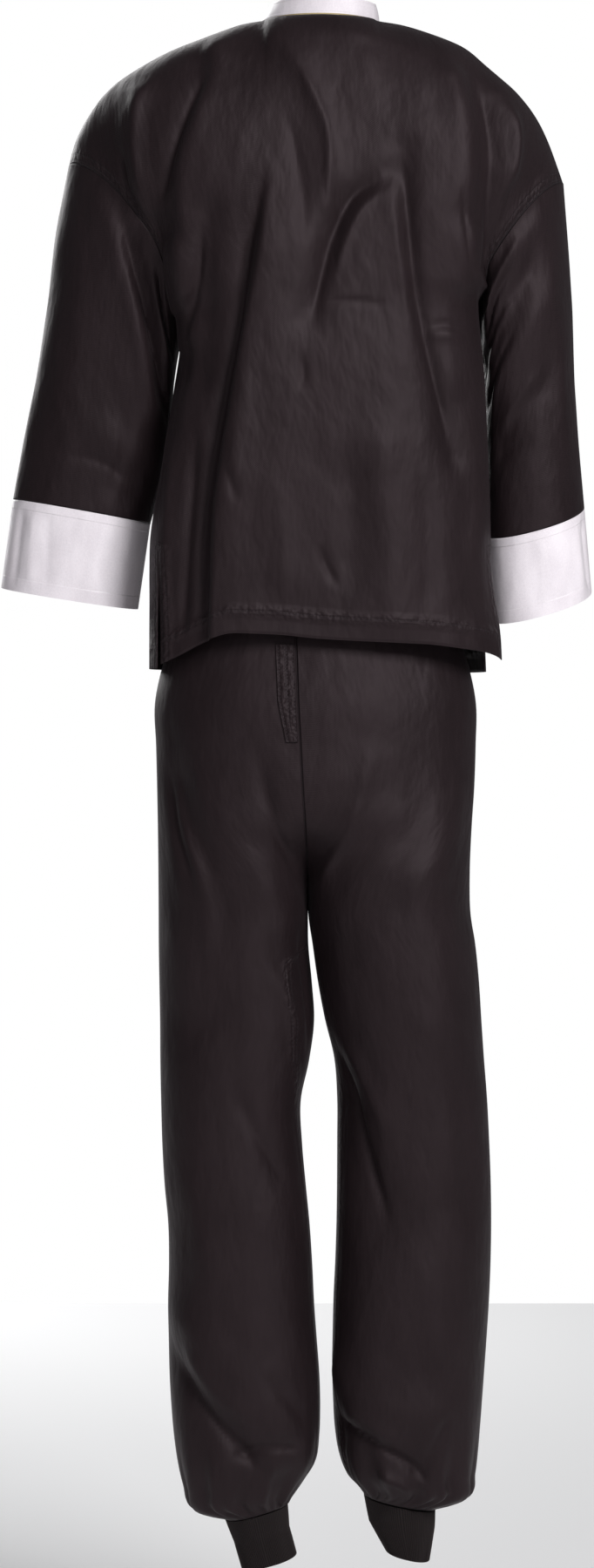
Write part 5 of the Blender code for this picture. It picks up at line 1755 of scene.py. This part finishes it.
@dataclass
class Frogs:
    """Seven corded fastenings: a long loop on either front, and a ball knot at centre front."""

    count: int = 7
    first_z: float = -68.0
    last_z: float = -470.0
    length: float = 42.0
    start: float = 3.0
    cord_radius: float = 1.45
    loop_radius: float = 1.9
    knot_radius: float = 6.0
    lift: float = 1.6
    ring_points: int = 24
    tube_points: int = 8
    cuts: int = 9
    core_share: float = 0.8
    turn_share: float = 0.72
    cord_share: float = 0.27
    turns: tuple[tuple[float, float, float], ...] = (
        (0, 0, 0), (90, 0, 0), (0, 90, 0), (45, 0, 45), (-45, 0, 45),
    )
    columns: int = 30
    aim: int = 6

    def loop(self) -> bpy.types.Object:
        """Model a long narrow loop of cord, lying along +X.

        Returns:
            The loop's object, in millimetres.
        """
        bpy.ops.object.select_all(action="DESELECT")
        bpy.ops.mesh.primitive_torus_add(
            major_segments=self.ring_points, minor_segments=self.tube_points,
            major_radius=self.loop_radius,
            minor_radius=self.cord_radius, location=(self.start + self.loop_radius, 0, self.lift),
        )
        loop = bpy.context.object
        bpy.ops.object.transform_apply(location=True, rotation=True, scale=True)
        middle = self.start + self.loop_radius
        bpy.ops.object.mode_set(mode="EDIT")
        bpy.ops.mesh.select_all(action="DESELECT")
        bpy.ops.object.mode_set(mode="OBJECT")
        for vertex in loop.data.vertices:
            vertex.select = vertex.co.x > middle + CLOSE
        bpy.ops.object.mode_set(mode="EDIT")
        bpy.ops.transform.translate(value=(self.length - 2 * self.loop_radius, 0, 0))
        bpy.ops.mesh.select_all(action="DESELECT")
        bpy.ops.object.mode_set(mode="OBJECT")
        far = middle + self.length - 2 * self.loop_radius
        for edge in loop.data.edges:
            ends = [loop.data.vertices[k].co.x for k in edge.vertices]
            edge.select = min(ends) <= middle + CLOSE and max(ends) >= far - CLOSE
        bpy.ops.object.mode_set(mode="EDIT")
        bpy.ops.mesh.subdivide(number_cuts=self.cuts)
        bpy.ops.object.mode_set(mode="OBJECT")
        return loop

    def knot(self) -> bpy.types.Object:
        """Model a ball knot of crossing cords round a small core.

        Returns:
            The knot's object, in millimetres.
        """
        bpy.ops.object.select_all(action="DESELECT")
        centre = (0.0, 0.0, self.knot_radius)
        bpy.ops.mesh.primitive_uv_sphere_add(
            segments=16, ring_count=10, radius=self.knot_radius * self.core_share, location=centre
        )
        made = [bpy.context.object]
        for turn in self.turns:
            bpy.ops.mesh.primitive_torus_add(
                major_segments=self.ring_points, minor_segments=self.tube_points,
                major_radius=self.knot_radius * self.turn_share,
                minor_radius=self.knot_radius * self.cord_share, location=centre,
                rotation=tuple(math.radians(angle) for angle in turn),
            )
            made.append(bpy.context.object)
        knot = merged(made)
        bpy.ops.object.transform_apply(location=True, rotation=True, scale=True)
        return knot

    def line(self, grid: np.ndarray, height: float) -> tuple[np.ndarray, np.ndarray, np.ndarray]:
        """Give where a front's columns cross a height, from centre front outwards.

        Args:
            grid: the front, its first column at centre front.
            height: the height.

        Returns:
            Places, outward normals and lengths from the first place.
        """
        normals = grid_normals(grid)
        normals *= -np.sign(normals[..., 1].mean())
        near, out = grid[:, : self.columns], normals[:, : self.columns]
        rows = np.argmin(np.abs(near[..., 2] - height), axis=0)
        columns = np.arange(self.columns)
        places = near[rows, columns]
        places[:, 2] = height
        reach = travel(places)
        return places, unit(out[rows, columns]), reach

    def laid(self, model: bpy.types.Object, grid: np.ndarray, height: float) -> bpy.types.Object:
        """Lay a copy of a flat model on a front.

        Args:
            model: the model, in millimetres, with +X away from centre front and +Z off the cloth.
            grid: the front, its first column at centre front.
            height: the height.

        Returns:
            The copy.
        """
        copy = model.copy()
        copy.data = model.data.copy()
        bpy.context.scene.collection.objects.link(copy)
        places, out, reach = self.line(grid, height)
        flat = np.array([vertex.co for vertex in copy.data.vertices])
        held = np.clip(flat[:, 0], 0, reach[-1])
        on, normal = read_at(held, reach, places), unit(read_at(held, reach, out))
        away = unit(places[self.aim] - places[0])
        up = unit(np.cross(normal, away))
        up *= np.sign(up[:, 2:])
        on += away * (flat[:, :1] - held[:, None])
        points = (on + up * flat[:, 1:2] + normal * flat[:, 2:]) * MM
        copy.data.vertices.foreach_set("co", points.reshape(-1))
        return copy

    def build(self, left: np.ndarray, right: np.ndarray, cord: Material) -> None:
        """Build both fronts' fastenings.

        Args:
            left: the left front's grid.
            right: the right front's grid.
            cord: their finish.
        """
        loop, knot = self.loop(), self.knot()
        heights = np.linspace(self.first_z, self.last_z, self.count)
        for side, grid, models in (("left", left[:, ::-1], (loop, knot)), ("right", right, (loop,))):
            piece = merged([self.laid(model, grid, height) for height in heights for model in models])
            piece.name = f"frogs_{side}"
            bpy.ops.object.mode_set(mode="EDIT")
            bpy.ops.mesh.select_all(action="SELECT")
            bpy.ops.mesh.normals_make_consistent(inside=False)
            bpy.ops.object.mode_set(mode="OBJECT")
            piece.data.shade_smooth()
            piece.data.materials.clear()
            piece.data.materials.append(cord)
            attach(piece, BODY)
            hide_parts(*[f"frog_{side}_{number}" for number in range(1, self.count + 1)])
            LOG.info("%s: %d fastenings", piece.name, self.count)
        for model in (loop, knot):
            bpy.data.objects.remove(model, do_unlink=True)


@dataclass
class Leg:
    """One trouser leg, of a back and a front panel, with its ankle rib."""

    side: str
    rows: tuple[LegRow, ...]
    rib: tuple[LegRow, ...]
    inseam: Route
    folds: tuple[Fold, ...]
    fine_folds: tuple[Fold, ...]


LEFT_LEG = Leg(
    side="left",
    inseam=((-1400, 12), (-1100, 12), (-1040, 28), (-1000, 52), (-950, 68), (-860, 66), (-500, 60)),
    rows=(
        LegRow(-860, 153.7, 9.66, 0, 90, 0),
        LegRow(-905, 153.5, 9, 0, 88, 0),
        LegRow(-950, 152.5, 3, 0, 86, 0),
        LegRow(-985, 152, 4.5, 1, 84, 0),
        LegRow(-1020, 152, 12, 2, 82, 0),
        LegRow(-1050, 151, 18, 2, 80, 0),
        LegRow(-1105, 149.5, 13.5, 3, 78, 0),
        LegRow(-1175, 143, 6.7, 4, 76, 0),
        LegRow(-1240, 144.5, 3.5, 5, 74, 0),
        LegRow(-1310, 142.8, -1.7, 6, 72, 0),
        LegRow(-1355, 140, -2.5, 6, 71, 0),
        LegRow(-1393, 134.5, 2.5, 7, 68, 1),
        LegRow(-1412, 129, 15, 7, 62, 4),
        LegRow(-1428, 121, 23, 7, 54, 8),
        LegRow(-1433, 107, 27, 7, 48, 10),
        LegRow(-1436, 89, 29.5, 7, 42, 7.5),
    ),
    rib=(
        LegRow(-1437.0, 89.0, 29.5, 7, 41.0, 7.5),
        LegRow(-1459, 80.0, 28.5, 6, 37, 7),
        LegRow(-1485, 73.0, 21.0, 5, 37, 7),
    ),
    folds=(
        Fold(((70, -740), (82, -830), (72, -925), (62, -965)), 24, -6),
        Fold(((100, -700), (115, -790), (128, -870)), 26, 4),
        Fold(((75, -960), (95, -1040), (120, -1100)), 26, -4),
        Fold(((30, -1290), (70, -1345), (110, -1400)), 22, -6),
        Fold(((45, -1250), (90, -1310), (130, -1370)), 22, 5),
        Fold(((290, -900), (275, -1050), (270, -1180)), 26, 4),
        Fold(((250, -1310), (275, -1360), (310, -1400)), 22, -5),
    ),
    fine_folds=(
        Fold(((50, -720), (58, -790), (66, -850)), 8, -2.4, 0.4, 0.3),
        Fold(((62, -700), (72, -820), (74, -930)), 9, 2.4, 0.7, 0.3),
        Fold(((150, -690), (158, -760), (160, -850)), 9, -3.0, 0.5, 0.3),
        Fold(((150, -860), (156, -930), (160, -1000)), 9, -3.0, 0.4, 0.3),
        Fold(((110, -900), (136, -960), (160, -990)), 9, 2.4, 0.6, 0.4),
        Fold(((88, -1010), (110, -1070), (140, -1120)), 8, -2.6, 0.4, 0.35),
        Fold(((44, -1080), (62, -1160), (70, -1250)), 14, 2.4, 0.9, 0.35),
        Fold(((24, -1282), (52, -1320), (88, -1370), (104, -1402)), 7, -4.0, 0.35, 0.25),
        Fold(((40, -1268), (72, -1316), (104, -1352)), 9, 3.2, 0.7, 0.3),
        Fold(((78, -1378), (108, -1366), (140, -1372)), 7, -3.6, 0.35, 0.3),
        Fold(((100, -1290), (128, -1330), (150, -1350)), 9, -2.4, 0.5, 0.35),
        Fold(((300, -760), (292, -860), (284, -960)), 10, -3.0, 0.5, 0.3),
        Fold(((230, -900), (214, -960), (204, -1020)), 9, -2.6, 0.5, 0.35),
        Fold(((320, -1270), (292, -1330), (262, -1372)), 8, -3.4, 0.4, 0.3),
        Fold(((300, -1250), (270, -1300), (240, -1330)), 10, 2.8, 0.7, 0.35),
    ),
)
RIGHT_LEG = Leg(
    side="right",
    inseam=((-1400, 12), (-500, 12)),
    rows=(
        LegRow(-860, -147, 9.64, 0, 90, 0),
        LegRow(-905, -153.7, 3.4, 0, 88, 0),
        LegRow(-940, -156.2, -1.7, 0, 87, 0),
        LegRow(-972, -158, -8.4, 1, 85, 0),
        LegRow(-1006, -160.4, -16.8, 1, 83, 0),
        LegRow(-1040, -163, -18.5, 2, 81, 0),
        LegRow(-1105, -166.3, -18.5, 3, 79, 0),
        LegRow(-1175, -167.2, -17.6, 4, 77, 0),
        LegRow(-1240, -164.6, -14.5, 5, 75, 0),
        LegRow(-1310, -159.6, -13.4, 6, 73, 0),
        LegRow(-1355, -156.2, -16, 6, 71, 0),
        LegRow(-1393, -153, -22, 7, 68, 0),
        LegRow(-1408, -150, -33, 7, 62, 2),
        LegRow(-1419, -146, -40, 7, 54, 6),
        LegRow(-1424, -134, -43, 7, 48, 9),
        LegRow(-1427, -112.5, -44.5, 7, 42, 7.5),
    ),
    rib=(
        LegRow(-1428.5, -112.5, -44.5, 7, 41.0, 7.5),
        LegRow(-1449, -111.5, -50.0, 6, 37, 3),
        LegRow(-1479, -107.0, -65.5, 5, 37, 4.5),
    ),
    folds=(
        Fold(((70, -760), (78, -860), (66, -960)), 26, 5),
        Fold(((148, -1040), (128, -1110), (112, -1160)), 24, -6),
        Fold(((170, -1350), (130, -1372), (90, -1384), (60, -1400)), 20, -5),
        Fold(((160, -1300), (110, -1330), (70, -1340)), 20, 4),
        Fold(((285, -900), (275, -1050), (265, -1180)), 26, 4),
        Fold(((245, -1310), (270, -1360), (300, -1400)), 22, -5),
    ),
    fine_folds=(
        Fold(((140, -690), (150, -760), (156, -860)), 9, 2.6, 0.6, 0.3),
        Fold(((104, -720), (96, -800), (90, -880)), 12, -2.0, 0.8, 0.35),
        Fold(((160, -980), (140, -1050), (118, -1120), (104, -1170)), 7, -4.0, 0.35, 0.25),
        Fold(((150, -960), (124, -1030), (100, -1080)), 9, 2.4, 0.6, 0.35),
        Fold(((56, -980), (48, -1080), (50, -1180)), 14, -2.0, 0.9, 0.35),
        Fold(((84, -1180), (76, -1250), (70, -1310)), 12, 2.0, 0.9, 0.35),
        Fold(((168, -1342), (140, -1352), (112, -1366), (88, -1386), (76, -1412)), 6, -4.0, 0.3, 0.2),
        Fold(((150, -1330), (120, -1344), (92, -1366)), 8, 3.0, 0.6, 0.3),
        Fold(((60, -1330), (72, -1366), (84, -1400)), 7, -3.0, 0.4, 0.3),
        Fold(((120, -1392), (104, -1400), (88, -1414)), 6, 2.6, 0.5, 0.3),
        Fold(((300, -760), (292, -860), (284, -960)), 10, -3.0, 0.5, 0.3),
        Fold(((230, -920), (216, -980), (206, -1040)), 9, -2.6, 0.5, 0.35),
        Fold(((320, -1270), (292, -1330), (262, -1372)), 8, -3.4, 0.4, 0.3),
        Fold(((300, -1240), (268, -1290), (238, -1324)), 10, 2.8, 0.7, 0.35),
    ),
)


@dataclass
class Trousers:
    """Loose trousers gathered into knitted ankle ribs, with a waistband and a sewn strip on the seat."""

    hips: tuple[HipRow, ...] = (
        HipRow(-500, 120, -116, 22, 80, -80),
        HipRow(-540, 128, -124, 22, 83, -83),
        HipRow(-580, 136, -132, 22, 86, -87),
        HipRow(-612, 145.5, -142, 21, 88, -88),
        HipRow(-632, 154.1, -148, 20, 93, -90),
        HipRow(-646, 157.3, -152.3, 20, 97, -94),
        HipRow(-665, 157.3, -152.5, 19, 99, -95),
        HipRow(-720, 155.5, -152, 16, 100, -95),
        HipRow(-780, 154.6, -148.5, 13, 99, -95),
        HipRow(-820, 154.6, -145.5, 11, 96, -93),
        HipRow(-860, 153.7, -147, 9.7, 90, -90),
    )
    leg_power: float = 2.3
    hip_power: float = 2.35
    crotch_blend: float = 110.0
    seat_fullness: float = 0.11
    crowding: float = 0.72
    leg_cells: int = 18
    hip_cells: int = 9
    panel_cells: int = 10
    row_steps: int = 7
    column_steps: int = 7
    gathers: int = 10
    ankle_gather: float = 2.6
    ankle_reach: float = 60.0
    waist_gather: float = 1.8
    fine_gain: float = 1.4
    fine_gathers: float = 23.0
    fine_gather: float = 2.4
    edge_fade: float = 0.12
    waistband_height: float = 36.0
    waistband_gap: float = 0.5
    tape: tuple[tuple[float, float, float], ...] = (
        (-606, 8.5, 10.5), (-660, 8.4, 10.2), (-698, 5.6, 7.4),
    )
    tape_reach: int = 30
    tape_rows: int = 20
    tape_columns: int = 9
    tape_lift: float = 1.0
    tape_thick: float = 1.0
    ribs: int = 112
    rib_raise: float = 0.55
    rib_points: int = 448

    def leg_ring(self, rows: tuple[LegRow, ...], z: np.ndarray, angle: np.ndarray) -> np.ndarray:
        """Give a leg's sections; angle 0 is its outer side and 90 its back.

        Args:
            rows: the leg's table.
            z: the heights.
            angle: the angles, in radians.

        Returns:
            The grid of points.
        """
        outer, inner, deep, middle_y, slant = (
            column(rows, name, z)[:, None] for name in ("outer", "inner", "half_depth", "middle_y", "slant")
        )
        cos, sin = power_circle(angle, self.leg_power)
        x = (outer + inner) / 2 + (outer - inner) / 2 * cos
        return np.stack([x, middle_y + deep * sin, z[:, None] - slant * cos], axis=-1)

    def hip_ring(self, z: np.ndarray, angle: np.ndarray, left: bool) -> np.ndarray:
        """Give quarter sections above the crotch, from the side seam to the middle.

        Args:
            z: the heights.
            angle: 0 at the side seam and 180 degrees at the middle, in radians.
            left: True for the left side.

        Returns:
            The grid of points.
        """
        names = ("left" if left else "right", "seam", "back", "front")
        edge, seam, back, front = (column(self.hips, name, z)[:, None] for name in names)
        cos, sin = power_circle(angle / 2, self.hip_power)
        y = np.where(sin >= 0, back * sin, -front * sin)
        return np.stack([seam + (edge - seam) * cos, y, z[:, None] + 0 * y], axis=-1)

    def plain_panel(self, leg: Leg, back: bool) -> tuple[np.ndarray, np.ndarray]:
        """Give a coarse panel without folds, from the ankle up and from the side seam inwards.

        Args:
            leg: the leg.
            back: True for its back panel.

        Returns:
            The grid, and the height that each row is counted at.
        """
        crotch, ankle = leg.rows[0].z, leg.rows[-1].z
        share = np.linspace(0, 1, self.leg_cells + 1)
        leg_z = ankle + (crotch - ankle) * (share - self.crowding * share * (1 - share) ** 2)
        hip_z = np.linspace(crotch, self.hips[0].z, self.hip_cells + 1)[1:]
        angle = np.linspace(0, math.pi, self.panel_cells + 1) * (1 if back else -1)
        lower = self.leg_ring(leg.rows, leg_z, angle)
        above = self.leg_ring(leg.rows, np.full_like(hip_z, crotch), angle)
        above[..., 2] = hip_z[:, None]
        share = smooth((hip_z - crotch) / self.crotch_blend)[:, None, None]
        hips = above * (1 - share) + self.hip_ring(hip_z, angle, leg.side == "left") * share
        hips[..., 1] *= 1 + 4 * self.seat_fullness * (share * (1 - share))[..., 0]
        return np.concatenate([lower, hips]), np.r_[leg_z, hip_z]

    def gather_heights(self, z: np.ndarray, angle: np.ndarray) -> np.ndarray:
        """Give the gathers at the ankle and the waist.

        Args:
            z: the height of each row.
            angle: the angle of each column, in radians.

        Returns:
            The height at each point.
        """
        z = z[:, None]
        low, high = z.min(), z.max()
        near_ankle = np.exp(-(((z - low) / self.ankle_reach) ** 2)) * smooth((z - low) / 12.0)
        near_waist = np.exp(-(((high - z) / self.ankle_reach) ** 2))
        heights = np.cos(angle * self.gathers)[None] * near_ankle * self.ankle_gather
        heights = heights + np.cos(angle * self.gathers)[None] * near_waist * self.waist_gather
        uneven = 0.65 + 0.35 * np.sin(angle * 5 + 1.3)
        reach = 32.0 + 14.0 * np.sin(angle * 7 + 0.6)
        small = np.cos(angle * self.fine_gathers + 1.1 * np.sin(angle * 3)) * uneven
        near = np.exp(-(((z - low) / reach[None]) ** 2)) * smooth((z - low) / 5.0)
        return heights + small[None] * near * self.fine_gather

    def panel(self, leg: Leg, back: bool) -> np.ndarray:
        """Give one fine panel with its folds and gathers.

        Args:
            leg: the leg.
            back: True for its back panel.

        Returns:
            The grid.
        """
        coarse, heights_z = self.plain_panel(leg, back)
        points = splined(splined(coarse, self.row_steps, 0), self.column_steps, 1)
        z = splined(heights_z, self.row_steps)
        angle = np.linspace(0, math.pi, points.shape[1]) * (1 if back else -1)
        around, level = np.meshgrid(np.degrees(angle) % 360, z)
        heights = self.gather_heights(z, angle) + fold_heights(around, level, leg.folds)
        heights += fold_heights(around, level, leg.fine_folds) * self.fine_gain
        place = np.linspace(0, 1, points.shape[1])
        edges = smooth(place / self.edge_fade) * smooth((1 - place) / self.edge_fade)
        heights = heights * edges[None]
        outward = grid_normals(points) * (1 if (leg.side == "left") == back else -1)
        return points + outward * heights[..., None]

    def build(self, twill: Material, knit: Material) -> None:
        """Build the panels, the waistband, the strip on the seat and the ankle ribs.

        Args:
            twill: the black cloth.
            knit: the ribs' finish.
        """
        grids = {}
        for leg in (LEFT_LEG, RIGHT_LEG):
            for part in ("back", "front"):
                grid = self.panel(leg, part == "back")
                grids[f"trouser_{part}_{leg.side}"] = grid
                piece = Piece(
                    f"trouser_{part}_{leg.side}_cloth", grid, twill, "black_cloth",
                    (f"trouser_{part}_{leg.side}",), flipped=(leg.side == "left") != (part == "back"),
                    sewn=(Edge.FIRST, Edge.LAST, Edge.TOP, Edge.BOTTOM),
                )
                above = np.maximum(grid[..., 2] - leg.rows[1].z, 0)
                level, offset = np.array(leg.inseam).T
                inward = np.interp(grid[..., 2], level, offset)
                piece.stitched = piece.distance((Edge.LAST,)) - inward + 4 * above
                piece.build()
            self.build_rib(leg, knit)
        self.build_waistband(grids, twill)
        self.build_tape(grids["trouser_back_left"], twill)

    def build_waistband(self, grids: dict[str, np.ndarray], twill: Material) -> None:
        """Build the elastic casing that goes on from the panels' top edges.

        Args:
            grids: the panels.
            twill: its finish.
        """
        order = (("back_left", 1), ("back_right", -1), ("front_right", 1), ("front_left", -1))
        loop = np.concatenate([grids[f"trouser_{name}"][-1, ::way][:-1] for name, way in order])
        loop = np.concatenate([loop, loop[:1]])
        outward = unit((loop - loop.mean(axis=0)) * np.array([1, 1, 0.0]))
        turn = np.linspace(0, 2 * math.pi, len(loop))
        rows = []
        for share in np.linspace(0, 1, 17):
            ripple = 0.8 * np.cos(turn * 52 + 0.8 * math.sin(share * 5)) * math.sin(math.pi * share)
            rise = np.array([0, 0, self.waistband_gap + self.waistband_height * share])
            rows.append(loop + rise + outward * (ripple + 0.6 * math.sin(math.pi * share))[:, None])
        Piece(
            "waistband_cloth", np.array(rows), twill, "black_cloth", ("waistband",), around=True,
            sewn=(Edge.BOTTOM,), thick=1.6,
        ).build()

    def build_tape(self, panel: np.ndarray, twill: Material) -> None:
        """Build the narrowing sewn strip beside the centre-back seam.

        Args:
            panel: the left back panel.
            twill: its finish.
        """
        panel = panel[:, ::-1]
        normals = grid_normals(panel)
        normals *= np.sign(normals[..., 1].mean())
        tops, halves, middles = np.array(self.tape, float).T
        near = range(self.tape_reach)
        rows = []
        for z in np.linspace(tops[-1], tops[0], self.tape_rows):
            half = np.interp(-z, -tops, halves)
            middle = np.interp(-z, -tops, middles)
            places, out = (
                np.concatenate([read_at(np.array([z]), panel[:, j, 2], grid[:, j]) for j in near])
                for grid in (panel, normals)
            )
            out = unit(out)
            reach = travel(places)
            wanted = np.linspace(middle - half, middle + half, self.tape_columns)
            off = read_at(wanted, reach, out) * (self.tape_lift + self.tape_thick)
            rows.append(read_at(wanted, reach, places) + off)
        piece = Piece(
            "seat_tape_cloth", np.array(rows), twill, "black_cloth", ("seat_tape",),
            flipped=True, thick=self.tape_thick,
        )
        piece.stitched = piece.distance((Edge.FIRST, Edge.LAST)) + 1.2
        piece.build()

    def build_rib(self, leg: Leg, knit: Material) -> None:
        """Build a knitted ankle cuff with its upright ribs.

        Args:
            leg: the leg that it ends.
            knit: its finish.
        """
        angle = np.linspace(math.pi, -math.pi, self.rib_points + 1)
        heights = splined(np.array([row.z for row in leg.rib], float), 9)
        points = self.leg_ring(leg.rib, heights, angle)
        outward = unit((points - points.mean(axis=1, keepdims=True)) * np.array([1, 1, 0.0]))
        rib = 0.5 + 0.5 * np.cos(angle * self.ribs)
        share = np.linspace(0, 1, len(heights))[:, None]
        roll = 0.5 * np.sin(math.pi * share)
        points = points + outward * (self.rib_raise * rib[None] * (0.8 + 0.2 * share) + roll)[..., None]
        points[:, -1] = points[:, 0]
        order = np.argsort(heights)
        points = points[order]
        piece = Piece(
            f"ankle_rib_{leg.side}_cloth", points, knit, "black_knit", (f"ankle_rib_{leg.side}",),
            around=True, flipped=leg.side == "left", thick=1.6,
        )
        piece.extra["rib"] = np.broadcast_to(rib[None], points.shape[:2])
        piece.build()


class Lamp(NamedTuple):
    """A soft square light: where it hangs, what it points at, its width in metres and its watts."""

    name: str
    place: tuple[float, float, float]
    at: tuple[float, float, float]
    size: float
    power: float


@dataclass
class Studio:
    """A pale floor, soft light and the camera behind the garment."""

    floor_z: float = -1.62
    floor_half: float = 3.2
    camera_place: tuple[float, float, float] = (0.0202, 4.2, -0.7375)
    lens: float = 100.0
    sensor: float = 36.0
    world_colour: Colour = (0.97, 0.97, 1.0, 1.0)
    world_light: float = 0.14
    lamps: tuple[Lamp, ...] = (
        Lamp("key", (-1.5, 2.6, 0.9), (0.0, 0.0, -0.2), 1.2, 92.0),
        Lamp("fill", (1.4, 4.4, 0.6), (0.0, 0.0, -0.4), 2.2, 20.0),
        Lamp("front", (1.6, -3.8, 1.2), (0.0, 0.0, -0.7), 2.6, 150.0),
    )

    def build(self) -> None:
        """Set up the floor, the light and the camera."""
        self.build_floor()
        self.build_world()
        for lamp in self.lamps:
            self.hang(lamp)
        data = bpy.data.cameras.new("camera")
        data.lens = self.lens
        data.sensor_fit = "VERTICAL"
        data.sensor_height = self.sensor
        data.clip_end = 60.0
        camera = bpy.data.objects.new("camera", data)
        camera.location = self.camera_place
        camera.rotation_euler = (math.pi / 2, 0.0, math.pi)
        bpy.context.scene.collection.objects.link(camera)
        bpy.context.scene.camera = camera
        bpy.context.scene.view_settings.view_transform = "Standard"

    def build_floor(self) -> None:
        """Lay the floor."""
        bpy.ops.object.select_all(action="DESELECT")
        bpy.ops.mesh.primitive_plane_add(size=2 * self.floor_half, location=(0, 0, self.floor_z))
        floor = bpy.context.object
        floor.name = "floor"
        graph = Graph("pale_floor")
        blot = graph.noise(graph.on_cloth((3, 3)), 2.0)
        tone = graph.mixed(blot, (0.86, 0.86, 0.87, 1.0), (0.9, 0.9, 0.9, 1.0))
        graph.feed(graph.shader.inputs["Base Color"], tone)
        graph.settle(Roughness=0.95, Specular_IOR_Level=0.1)
        floor.data.materials.append(graph.material)

    def build_world(self) -> None:
        """Light the scene all round, and show the backdrop white."""
        world = bpy.data.worlds.new("studio")
        world.use_nodes = True
        tree = world.node_tree
        back = tree.nodes["Background"]
        back.inputs["Color"].default_value = self.world_colour
        back.inputs["Strength"].default_value = self.world_light
        shown = tree.nodes.new("ShaderNodeBackground")
        shown.inputs["Color"].default_value = (1, 1, 1, 1)
        shown.inputs["Strength"].default_value = 1.0
        path = tree.nodes.new("ShaderNodeLightPath")
        mix = tree.nodes.new("ShaderNodeMixShader")
        tree.links.new(path.outputs["Is Camera Ray"], mix.inputs[0])
        tree.links.new(back.outputs[0], mix.inputs[1])
        tree.links.new(shown.outputs[0], mix.inputs[2])
        tree.links.new(mix.outputs[0], tree.nodes["World Output"].inputs[0])
        bpy.context.scene.world = world

    def hang(self, lamp: Lamp) -> None:
        """Hang a light.

        Args:
            lamp: the light.
        """
        data = bpy.data.lights.new(lamp.name, "AREA")
        data.size = lamp.size
        data.energy = lamp.power
        made = bpy.data.objects.new(lamp.name, data)
        made.location = lamp.place
        aim = Vector(lamp.at) - Vector(lamp.place)
        made.rotation_euler = aim.to_track_quat("-Z", "Y").to_euler()
        bpy.context.scene.collection.objects.link(made)


def main() -> None:
    """Dress the frame."""
    logging.basicConfig(level=logging.INFO, format="%(message)s")
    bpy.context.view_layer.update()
    twill = Twill().material()
    satin = Satin().material()
    trim = Satin(
        name="white_collar", top_band=3.0, low_band=2.6, stitch_rows=(3.0, 3.0), dark_stitches=0.0,
        piping_width=1.0,
    ).material()
    fronts = Jacket().build(twill, satin, trim)
    Frogs().build(*fronts, Cord().material())
    Trousers().build(twill, Knit().material())
    Studio().build()


if __name__ == "__main__":
    main()
